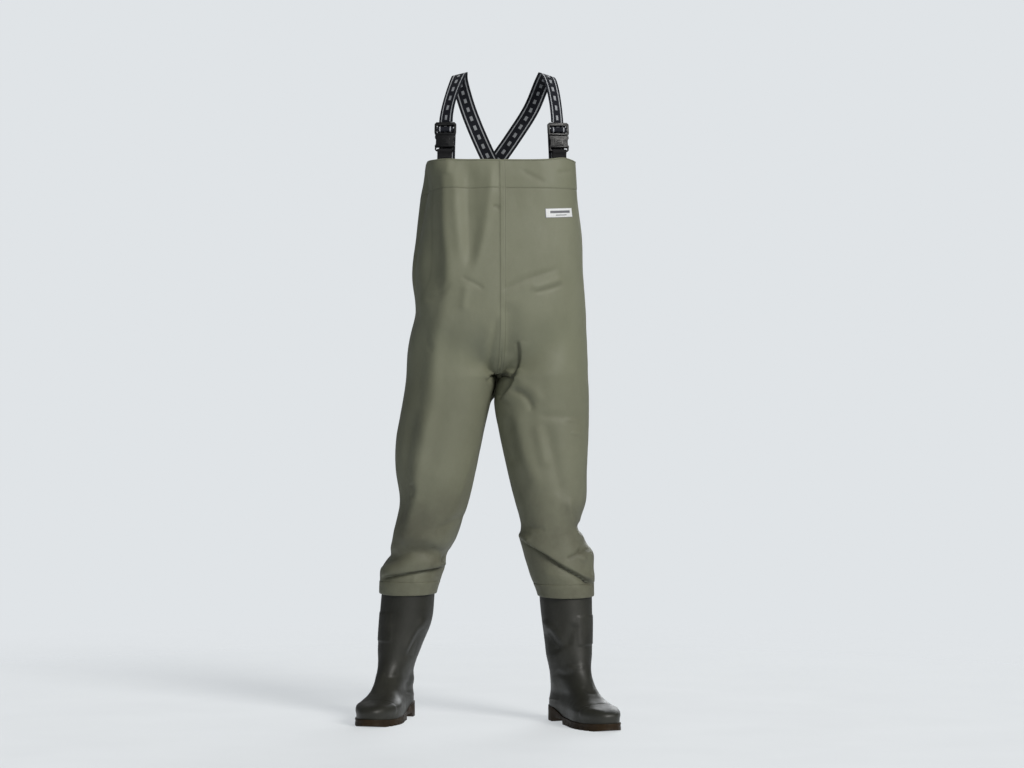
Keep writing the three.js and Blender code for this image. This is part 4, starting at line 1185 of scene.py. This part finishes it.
# Folds of the boots, as the fabric's folds are given.
BOOT_FOLDS = {
    "left": [
        ("roll", 3.0, 7, 9, [(96, 246), (108, 236), (124, 220), (140, 200), (150, 184)]),
        ("roll", -4.5, 15, 13, [(100, 224), (112, 205), (126, 186), (138, 168)]),
        ("roll", -3.0, 10, 10, [(172, 240), (160, 205), (152, 180)]),
        ("roll", -2.2, 7, 7, [(128, 128), (150, 118), (172, 126)]),
        ("roll", -1.8, 5, 5, [(186, 92), (204, 80), (226, 74)]),
        ("roll", 1.6, 6, 6, [(150, 140), (176, 132), (196, 140)]),
    ],
    "right": [
        ("roll", 3.5, 8, 8, [(-168, 256), (-182, 238), (-200, 208), (-214, 180), (-222, 160)]),
        ("roll", -5.0, 14, 14, [(-172, 232), (-184, 208), (-198, 176), (-206, 150)]),
        ("roll", -2.2, 7, 7, [(-272, 122), (-250, 114), (-226, 124)]),
        ("roll", -1.8, 5, 5, [(-300, 82), (-280, 76), (-258, 82)]),
        ("roll", -2.0, 7, 7, [(-214, 108), (-206, 92), (-212, 74)]),
    ],
}


# Soft swellings of the boots: direction in degrees, height, reach each way, amount.
BOOT_SWELL = {
    "left": [(-115, 130, 45, 55, 5.5), (-115, 95, 40, 20, 2.0)],
    "right": [(106, 232, 45, 50, 8.0), (122, 84, 35, 22, 6.0), (-75, 300, 60, 60, 2.5)],
}


def boot_form(side, z, angle, inset=0.0):
    """The smooth form of a boot at height z and angle, 0 at the toe, in its own frame."""
    sign = SIDES[side]
    behind, ahead, half = boot_section_at(z)
    lean = BOOTS[side]["lean"]
    tilt = np.maximum(z - 100, 0) / (HEM_Z - 100)
    shaft = smoothstep(z, 62, 118)
    middle = (ahead - behind) / 2
    x, across = superellipse(angle, lerp(2.7, 2.05, shaft))
    x = x * ((ahead + behind) / 2 - inset)
    taper = 1 - INSTEP_TAPER * smoothstep(z, 38, 75)
    width = lerp(foot_half_at(middle + x)[0] * taper, half, shaft) - inset
    turn = smoothstep(middle + x, 40, 220) * TOE_TURN * (1 - shaft)
    y = across * width - sign * turn
    return np.stack([middle + x + lean[0] * tilt, y + sign * lean[1] * tilt, z], -1)


def boot_to_maker(side, points):
    """Points of a boot's own frame, in the maker's frame."""
    toe_out = SIDES[side] * math.radians(BOOTS[side]["toe_out"])
    x, y = turned(points[..., 0], points[..., 1], toe_out - math.pi / 2)
    ankle = BOOTS[side]["ankle"]
    return np.stack([x + ankle[0], y + ankle[1], points[..., 2]], -1)


def boot_heights(side, angle):
    """Heights up each line of the boot, evenly spaced along its front, from under the sole's top."""
    fine = np.linspace(12, SHAFT_TOP_Z, 1400)
    ahead = boot_section_at(fine)[1]
    run = np.concatenate([[0], np.cumsum(np.hypot(np.diff(ahead), np.diff(fine)))])
    z = np.interp(np.linspace(0, run[-1], 170), run, fine)[:, None]
    low = np.interp(boot_form(side, np.full(angle.shape, 24.0), angle)[..., 0], SOLE_X, SOLE_Z) - 2.5
    return z + (low - 12) * (1 - smoothstep(z, 12, 72))


def boot_relief(side, local, outward):
    """How far the moulded details and the creases of wear stand off the boot's form."""
    x, y, z = (local[..., k].ravel() for k in range(3))
    outer = SIDES[side] * y
    top = smoothstep(outward[..., 2].ravel(), 0.1, 0.6)
    foot = 1 - smoothstep(z, 95, 130)
    cap_edge = x - 168 + 0.0022 * y**2
    relief = foot * (1.6 * smoothstep(cap_edge, -2, 5) + 1.5 * hump(cap_edge, 0, 3.4))
    relief -= foot * 1.3 * hump(cap_edge, -7, 4.5) * (0.3 + 0.7 * top)
    for flex in (130, 108):
        relief -= foot * top * 0.3 * hump(x - 0.12 * outer, flex, 9)
    turn = np.degrees(np.arctan2(y, x))
    for angle, middle, reach, height, amount in BOOT_SWELL[side]:
        off = (turn - angle + 180) % 360 - 180
        relief += amount * hump(off, 0, reach) * hump(z, middle, height)
    around = np.degrees(np.arctan2(outer, x + 6))
    panel = smoothstep(around, -12, -4) * smoothstep(112 - around, 0, 8)
    panel = panel * smoothstep(z, 180, 184) * smoothstep(251 - z, 0, 4)
    relief += 1.5 * panel
    relief += 1.6 * hump(x, -78, 14) * hump(z, 74, 5)
    relief += 0.8 * hump(z - 0.05 * x, 52, 3) * smoothstep(-x, -20, 20) * foot
    maker = boot_to_maker(side, local).reshape(-1, 3)
    u, v = as_seen(*maker.T)
    ahead = (boot_to_maker(side, outward) - boot_to_maker(side, np.zeros(3))).reshape(-1, 3)
    folds, _ = fold_height(u, v, BOOT_FOLDS[side])
    relief += folds * smoothstep(-ahead[:, 1], -0.1, 0.25)
    relief += 0.5 * np.array([noise.noise(Vector(p)) for p in maker / 34])
    return relief.reshape(local.shape[:-1])


def boot_normal(side, z, angle):
    da, dz = 0.02, 0.6
    around = boot_form(side, z, angle + da) - boot_form(side, z, angle - da)
    up = boot_form(side, z + dz, angle) - boot_form(side, z - dz, angle)
    return unit(np.cross(around, up))


def boot_upper(side):
    """The moulded upper, with its wall turned in at the top and its inside."""
    count = 132
    angle = np.linspace(0, 2 * math.pi, count, endpoint=False) + 0.011
    z = boot_heights(side, angle)
    angles = np.broadcast_to(angle, z.shape)
    form, outward = boot_form(side, z, angles), boot_normal(side, z, angles)
    relief = boot_relief(side, form, outward) * smoothstep(z, 24, 34)
    outer = form + outward * relief[..., None]
    inner_z = z[::-3]
    inner = boot_form(side, inner_z, np.broadcast_to(angle, inner_z.shape), BOOT_WALL)
    inner[-1, :, 2] += BOOT_WALL + 1
    points = boot_to_maker(side, np.concatenate([outer, inner]))
    faces = tube_faces(len(points), count)
    made = piece(f"{side}_boot_upper", points.reshape(-1, 3), faces, "boot_pvc", replaces=[f"{side}_boot"])
    tidy_normals(made)


def sole_profile():
    """Side view of the outsole: a heel block, a raised arch and a lugged forefoot."""
    tread, arch = 5, 11

    def lugs(start, stop, count):
        pitch = (stop - start) / count
        steps = ((0, 0), (0.66, 0), (0.74, tread), (0.96, tread))
        return [(start + (i + share) * pitch, z) for i in range(count) for share, z in steps]

    under = lugs(-84, -16, 4)[:-2] + [(-8, arch), (40, arch)] + lugs(48, 212, 9)[:-2]
    return under + [(224, 3), (236, 10), (240, 14)] + [(x, z - 0.3) for x, z in SOLE_LINE[::-1]]


def prism(name, outline, low, high, axis):
    """A closed prism over an outline, along one of the axes, in a boot's frame."""
    data = bpy.data.meshes.new(name)
    count = len(outline)
    where = {"y": lambda a, b, c: (a, c, b), "z": lambda a, b, c: (a, b, c)}[axis]
    points = [where(a, b, level) for level in (low, high) for a, b in outline]
    faces = [[i, (i + 1) % count, count + (i + 1) % count, count + i] for i in range(count)]
    faces += [list(range(count))[::-1], list(range(count, 2 * count))]
    data.from_pydata(points, [], faces)
    made = new_object(name, data)
    tidy_normals(made)
    return made


def outsole(side):
    """The lugged sole: its side view cut to its plan, with a channel under it, a groove round it and
    softened edges."""
    angle = np.linspace(0, 2 * math.pi, 110, endpoint=False)
    plan = boot_form(side, np.full(angle.shape, 32.0), angle, -WELT)[:, :2]
    sole = prism(f"{side}_sole", sole_profile(), -120, 120, "y")
    cutters = [
        (prism("plan", plan.tolist(), -1, 60, "z"), "INTERSECT"),
        (prism("channel", [(52, -3), (190, -3), (190, 3), (52, 3)], -1, 4.5, "z"), "DIFFERENCE"),
    ]
    for cutter, operation in cutters:
        cut = sole.modifiers.new("cut", "BOOLEAN")
        cut.object = cutter
        cut.operation = operation
        cut.solver = "EXACT"
        apply_modifiers(sole)
    for cutter, _ in cutters:
        bpy.data.objects.remove(cutter)
    with editing(sole.data) as mesh:
        bmesh.ops.remove_doubles(mesh, verts=mesh.verts, dist=0.02)
        for level in (14.0, *GROOVE_LEVELS):
            everything = mesh.verts[:] + mesh.edges[:] + mesh.faces[:]
            bmesh.ops.bisect_plane(mesh, geom=everything, plane_co=(0, 0, level), plane_no=(0, 0, 1))
        for vertex in mesh.verts:
            if 8.5 < vertex.co.z < 10.5 and vertex.co.x > 30:
                toward = Vector((vertex.co.x - 110, vertex.co.y * 3, 0)).normalized()
                vertex.co -= toward * GROOVE_DEPTH
    bevel_edges(sole, 0.9, 2, 38)
    local = np.array([v.co for v in sole.data.vertices])
    points = place(boot_to_maker(side, local))
    sole.data.vertices.foreach_set("co", points.astype(np.float32).ravel())
    sole.data.materials.append(MATERIALS["sole_pvc"])
    sole.data.shade_smooth()
    sole.data.set_sharp_from_angle(angle=math.radians(45))
    sole.data.update()
    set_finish(sole, "sole_pvc")
    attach(sole, "waders")
    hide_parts(f"{side}_outsole")


# ---------------------------------------------------------------- straps

# Half of a strap's section: share of the half width, share of the half thickness.
STRAP_EDGE = [(-1, 0), (-0.985, 0.62), (-0.955, 0.95), *((k * 0.35, 1) for k in range(-2, 3))]
STRAP_EDGE += [(0.955, 0.95), (0.985, 0.62)]


def strap(name, line, across, out, width, thickness, material, **more):
    """A flat strap along a line, with its UV map in metres across and along."""
    section = STRAP_EDGE + [(-a, -b) for a, b in STRAP_EDGE]
    ring = len(section)
    points = [line + across * (a * width / 2) + out * (b * thickness / 2) for a, b in section]
    made = piece(name, np.stack(points, 1).reshape(-1, 3), tube_faces(len(line), ring), material, **more)
    run = np.concatenate([[0], np.cumsum(np.linalg.norm(np.diff(line, axis=0), axis=1))]) / 1000
    at = [divmod(loop.vertex_index, ring) for loop in made.data.loops]
    set_metres(made, [(section[k][0] * width / 2000, run[row]) for row, k in at])
    tidy_normals(made)
    return made


def on_trunk(x, y, z):
    """A point given in the trunk's own turned frame."""
    a, b = turned(x, y, TRUNK_YAW)
    return np.array([a + TRUNK_MID_X, b, z], float)


def on_shoulder(side, x, y, z):
    return on_trunk(SIDES[side] * x + SHOULDER_SHIFT, y, z)


def stand_on_bib(side, t, above, behind, forward=0.0):
    """Frame of a fitting on the bib's edge: x across, y to the back, z up."""
    edge = float(bib_edge(t))
    out = fabric_normal(side, edge - 20, t)
    ahead = on_trunk(0, -1, 0) - on_trunk(0, 0, 0)
    ahead[2] = out[2]
    back = -unit(lerp(out, ahead, forward))
    up = unit(np.array([0, 0, 1.0]) - back * back[2])
    across = np.cross(back, up)
    origin = fabric_form(side, edge, t) + back * behind + up * above
    return np.stack([across, back, up], 1), origin


def brace_faces(line):
    """Directions across and out of a brace that lies over the shoulder and flat down the back."""
    along = unit(np.gradient(line, axis=0))
    down = smoothstep(line[:, 1], 25, 105)[:, None]
    chest = np.array([TRUNK_MID_X, 45, 1250])
    straight = on_trunk(0, 300, 0) - on_trunk(0, 0, 0)
    out = lerp((line - chest) * [0.75, 1, 1], straight, down)
    out = unit(out - along * (out * along).sum(1, keepdims=True))
    return np.cross(along, out), out


def front_brace(side, basis, origin):
    """The brace from the adjuster up to the shoulder, as a piece that rides on no body."""
    start = origin + basis @ np.array([0, 4.6, 69.0])
    up = basis[:, 2]
    x, y, z = SHOULDER
    end = on_shoulder(side, x, y, z)
    controls = [start, start + up * 52, on_shoulder(side, x + 4, y - 63, z - 3), end]
    s = np.linspace(0, 1, 70)[:, None]
    line = sum(math.comb(3, k) * s**k * (1 - s) ** (3 - k) * controls[k] for k in range(4))
    across, out = brace_faces(line)
    made = strap(
        f"{side}_brace_front", line, across, out, BRACE_WIDTH, BRACE_THICKNESS, "elastic",
        replaces=[f"{side}_front_brace"], ride=False,
    )
    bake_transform(made)


def back_brace(side, ring_basis, ring_origin):
    """The brace from the shoulder down to the ring on the other side of the back."""
    sign = SIDES[side]
    apart = 3 * sign
    x, y, z = SHOULDER
    ends = [ring_origin + ring_basis @ np.array([0, 0, h]) for h in (55, 37)]
    route = [
        on_shoulder(side, x, y, z),
        on_shoulder(side, 96, 62, 1492),
        on_shoulder(side, 74, 112, 1434),
        on_trunk(sign * 38 + SHOULDER_SHIFT / 2, 134 + apart, 1366),
        on_trunk(0, CROSS[0] + apart, CROSS[1]),
        *ends,
    ]
    line = through(route, 18)
    across, out = brace_faces(line)
    strap(
        f"{side}_brace_back", line, across, out, BRACE_WIDTH, BRACE_THICKNESS, "elastic",
        replaces=[f"{side}_back_brace"],
    )


def woven(name, basis, origin, path, width, thickness, material, shift=0.0, **more):
    """A strap through a fitting, along (y, z) points of the fitting's frame."""
    flat = through(path, 7)
    line = np.stack([np.full(len(flat), shift), flat[:, 0], flat[:, 1]], 1)
    along = unit(np.gradient(flat, axis=0))
    out = np.stack([np.zeros(len(flat)), along[:, 1], -along[:, 0]], 1)
    across = np.tile([1.0, 0, 0], (len(flat), 1)) @ basis.T
    strap(name, origin + line @ basis.T, across, out @ basis.T, width, thickness, material, **more)


def fold_over_bar(depth, height, length):
    """The path of webbing over a bar and back down, pinched together under it."""
    y, z = depth / 2 + 1.1, height / 2 + 1.1
    pinch = 0.4 + WEBBING_THICKNESS / 2
    half = [(y - 1.4, z), (y, z - 1.3), (y, -z), (pinch + 0.3, -z - 6), (pinch, -z - 12), (pinch, -length)]
    return half[::-1] + [(-y, z) for y, z in half]


def stitches(name, rows, body, radius=0.45):
    """Rows of thread stitches, each from a start to an end with its out direction, in one piece."""
    points, faces = [], []
    for start, end, out in rows:
        length = np.linalg.norm(end - start)
        along = (end - start) / length
        across = np.cross(along, out)
        count = max(int(length / 3.6), 1)
        for i in range(count):
            first = len(points)
            for share, size in ((0.12, 0.25), (0.25, 1), (0.75, 1), (0.88, 0.25)):
                middle = start + along * length * (i + share) / count + out * 0.25 * size
                for k in range(6):
                    turn = math.pi * k / 3
                    points.append(middle + radius * size * (across * math.cos(turn) + out * math.sin(turn)))
            faces += [[first + f for f in face] for face in tube_faces(4, 6)]
    made = piece(name, np.array(points), faces, "thread", body=body, slot="webbing")
    tidy_normals(made)
    return made


def box_rows(basis, origin, x0, x1, z0, z1, y):
    """Stitch rows round a box with a cross in it, on a fitting's front or back."""
    def at(x, z):
        return origin + basis @ np.array([x, y, z])

    out = basis[:, 1] * (1 if y > 0 else -1)
    corners = [at(x0, z0), at(x1, z0), at(x1, z1), at(x0, z1)]
    rows = [(a, b, out) for a, b in zip(corners, corners[1:] + corners[:1])]
    return rows + [(corners[0], corners[2], out), (corners[1], corners[3], out)]


def raised_panel(name, basis, origin, half_x, z0, z1, y_from, y_to, body="waders", corner=2.0):
    """A rounded boss on a fitting's front face."""
    outline = []
    for cx, cz, turn in ((half_x, z1, 0), (-half_x, z1, 90), (-half_x, z0, 180), (half_x, z0, 270)):
        for step in range(5):
            angle = math.radians(turn + 22.5 * step)
            inner_x = cx - math.copysign(corner, cx)
            inner_z = cz - corner if cz == z1 else cz + corner
            outline.append((inner_x + corner * math.cos(angle), inner_z + corner * math.sin(angle)))
    levels = [(y_from, 0.0), (lerp(y_from, y_to, 0.6), 0.0), (lerp(y_from, y_to, 0.92), 0.35), (y_to, 0.9)]
    middle = np.array([0, (z0 + z1) / 2])
    points = []
    for y, shrink in levels:
        for corner_point in np.array(outline):
            x, z = corner_point - unit(corner_point - middle) * shrink
            points.append(origin + basis @ np.array([x, y, z]))
    faces = tube_faces(len(levels), len(outline))
    made = piece(name, np.array(points), faces, "buckle_plastic", body=body)
    tidy_normals(made)
    made.data.set_sharp_from_angle(angle=math.radians(50))


def front_fittings(side):
    """The buckle with its tab, the adjuster's weave, and the brace that goes up from it."""
    basis, origin = stand_on_bib(side, BUCKLE_AT[side], 9, BUCKLE_TAB_BEHIND, BUCKLE_FORWARD)
    clip = f"{side}_clip"
    softened(f"{side}_housing", f"{side}_buckle_housing", 1.1)
    softened(f"{side}_clip_frame", f"{side}_buckle_clip", 1.0)
    for where in ("outer", "inner"):
        softened(f"{side}_{where}_arm", f"{side}_clip_arm_{where}", 0.7)
    raised_panel(f"{side}_housing_boss", basis, origin, 11, 13, 32, -5.3, -6.4)
    for k in range(3):
        low = 17 + 4 * k
        raised_panel(f"{side}_housing_rib_{k}", basis, origin, 6.5, low, low + 2, -6.2, -7.0, corner=0.9)
    raised_panel(f"{side}_clip_boss", basis, origin, 17, 37.6, 41.6, -3.0, -4.2, clip, corner=1.6)
    back = 3.7 + BRACE_THICKNESS / 2
    loop = [(back, 69.4), (back, 62), (back - 0.6, 59), (0, 56.8), (-back + 0.6, 55.4), (-back, 53)]
    loop += [(-back, 49.6), (-back + 0.8, 47.2), (0, 46), (back - 0.8, 45), (back, 43.2), (back, 39)]
    woven(
        f"{side}_adjuster_weave", basis, origin, loop, BRACE_WIDTH, BRACE_THICKNESS, "elastic",
        body=clip, replaces=[f"{side}_adjuster_loop"],
    )
    tail_y = 7.1 + BRACE_THICKNESS / 2
    tail = [(tail_y, 56), (tail_y + 0.3, 30), (tail_y, 0), (tail_y + 0.8, -30)]
    woven(
        f"{side}_loose_end", basis, origin, tail, BRACE_WIDTH, BRACE_THICKNESS, "elastic",
        shift=-4 * SIDES[side], body=clip, replaces=[f"{side}_brace_tail"],
    )
    lifted = origin + basis[:, 2] * 1.75
    tab = fold_over_bar(6, 3.5, 46)
    woven(
        f"{side}_front_tab", basis, lifted, tab, TAB_WIDTH, WEBBING_THICKNESS, "webbing",
        replaces=[f"{side}_buckle_tab"],
    )
    stitches(f"{side}_front_tab_stitches", box_rows(basis, lifted, -13, 13, -40, -16, -1.75), "waders")
    front_brace(side, basis, origin)


def back_fittings(side):
    """The ring on one side of the back, with its tab and the end of the brace that comes to it."""
    basis, origin = stand_on_bib(side, BACK_RING_AT, 10, RING_TAB_BEHIND)
    c, s = math.cos(SIDES[side] * BACK_RING_TILT), math.sin(SIDES[side] * BACK_RING_TILT)
    basis = basis @ np.array([[c, 0, s], [0, 1, 0], [-s, 0, c]])
    softened(f"{side}_ring", f"{side}_back_ring", 1.0)
    low = origin + basis[:, 2] * 2
    tab = fold_over_bar(4, 4, 42)
    woven(
        f"{side}_ring_tab", basis, low, tab, BRACE_WIDTH, WEBBING_THICKNESS, "webbing",
        replaces=[f"{side}_back_tab"],
    )
    high = origin + basis[:, 2] * 15
    flipped = basis @ np.diag([1.0, -1.0, -1.0])
    fold = fold_over_bar(4, 4, 20)
    woven(
        f"{side}_brace_fold", flipped, high, fold, BRACE_WIDTH, WEBBING_THICKNESS, "elastic",
        replaces=[f"{side}_brace_end"],
    )
    return basis, origin


def cross_patch():
    """The diamond of webbing stitched over the crossed braces."""
    half, y = 27.0, CROSS[0] + 6.2
    centre = on_trunk(0, y, CROSS[1])
    c, s = math.cos(TRUNK_YAW), math.sin(TRUNK_YAW)
    basis = np.array([[c, -s, 0], [s, c, 0], [0, 0, 1.0]])
    corners = np.array([(-half, 0), (0, -half - 5), (half, 0), (0, half + 5)], float)
    rounded = []
    for i, corner in enumerate(corners):
        before, after = corners[i - 1], corners[(i + 1) % 4]
        a, b = corner + unit(before - corner) * 5, corner + unit(after - corner) * 5
        rounded += [lerp(lerp(a, corner, k), lerp(corner, b, k), k) for k in np.linspace(0, 1, 5)]
    outline = np.array(rounded)
    levels = [(-0.7, 1.0), (0.2, 1.0), (0.75, 0.985), (0.95, 0.955), (0.95, 0.5)]
    points = [centre + basis @ np.array([x * k, depth, z * k]) for depth, k in levels for x, z in outline]
    faces = tube_faces(len(levels), len(outline))
    made = piece("cross_diamond", np.array(points), faces, "webbing", replaces=["cross_patch"])
    tidy_normals(made)
    flat = np.array([(x * k, z * k) for _, k in levels for x, z in outline]) / 1000
    set_metres(made, [flat[loop.vertex_index] for loop in made.data.loops])
    ring = [centre + basis @ np.array([x * 0.82, 1.0, z * 0.82]) for x, z in corners]
    out = basis[:, 1]
    stitches("cross_diamond_stitches", [(a, b, out) for a, b in zip(ring, ring[1:] + ring[:1])], "waders")


# ---------------------------------------------------------------- stage


def camera():
    data = bpy.data.cameras.new("camera")
    data.lens = SENSOR * EYE_DISTANCE / VIEW_WIDTH
    data.sensor_width = SENSOR
    data.clip_end = 200
    made = new_object("camera", data)
    made.location = place([EYE_X, -EYE_DISTANCE, EYE_Z])
    made.rotation_euler = (math.pi / 2, 0, 0)
    bpy.context.scene.camera = made


def sun(name, toward, strength, colour, angle):
    """A distant light that shines from a direction."""
    data = bpy.data.lights.new(name, "SUN")
    data.energy = strength
    data.color = colour
    data.angle = math.radians(angle)
    made = new_object(name, data)
    made.rotation_euler = Vector(toward).to_track_quat("Z", "Y").to_euler()


def stage():
    bpy.context.scene.view_settings.view_transform = "Standard"
    world = bpy.data.worlds.new("studio")
    world.use_nodes = True
    sky = world.node_tree.nodes["Background"]
    sky.inputs["Color"].default_value = (*SKY_COLOUR, 1)
    sky.inputs["Strength"].default_value = 0.17
    bpy.context.scene.world = world
    sun("key", (0.54, -0.72, 0.50), 2.3, (1.0, 0.985, 0.95), 22)
    sun("front", (0.05, -0.9, 0.45), 0.25, (1.0, 1.0, 1.0), 30)
    sun("behind", (0.25, 0.9, 0.4), 1.0, (0.95, 0.98, 1.0), 30)
    floor, backdrop = (new_object(name, bpy.data.meshes.new(name)) for name in ("floor", "backdrop"))
    with editing(floor.data) as mesh:
        bmesh.ops.create_circle(mesh, cap_ends=True, segments=96, radius=3.0)
    with editing(backdrop.data) as mesh:
        bmesh.ops.create_uvsphere(mesh, u_segments=48, v_segments=24, radius=60.0)
    floor.data.materials.append(floor_paper())
    backdrop.data.materials.append(glow("backdrop", (0.745, 0.775, 0.8)))
    for kind in ("diffuse", "glossy", "shadow", "transmission"):
        setattr(backdrop, f"visible_{kind}", False)


# ---------------------------------------------------------------- building it

camera()
stage()
for one in SIDES:
    fabric_half(one)
    inner_seam(one)
    bib_facing(one)
    hem_band(one)
    boot_upper(one)
    outsole(one)
    softened(f"{one}_footbed", f"{one}_insole", 0.8, "insole", 2)
    softened(f"{one}_toe_steel", f"{one}_toe_cap", 0.3, "steel", 1)
    front_fittings(one)
centre_seam("front_seam", True, "front_seam_tape")
centre_seam("back_seam", False, "back_seam_tape")
chest_label()
cross_patch()
rings = {one: back_fittings(one) for one in SIDES}
for one, other in (("left", "right"), ("right", "left")):
    back_brace(one, *rings[other])
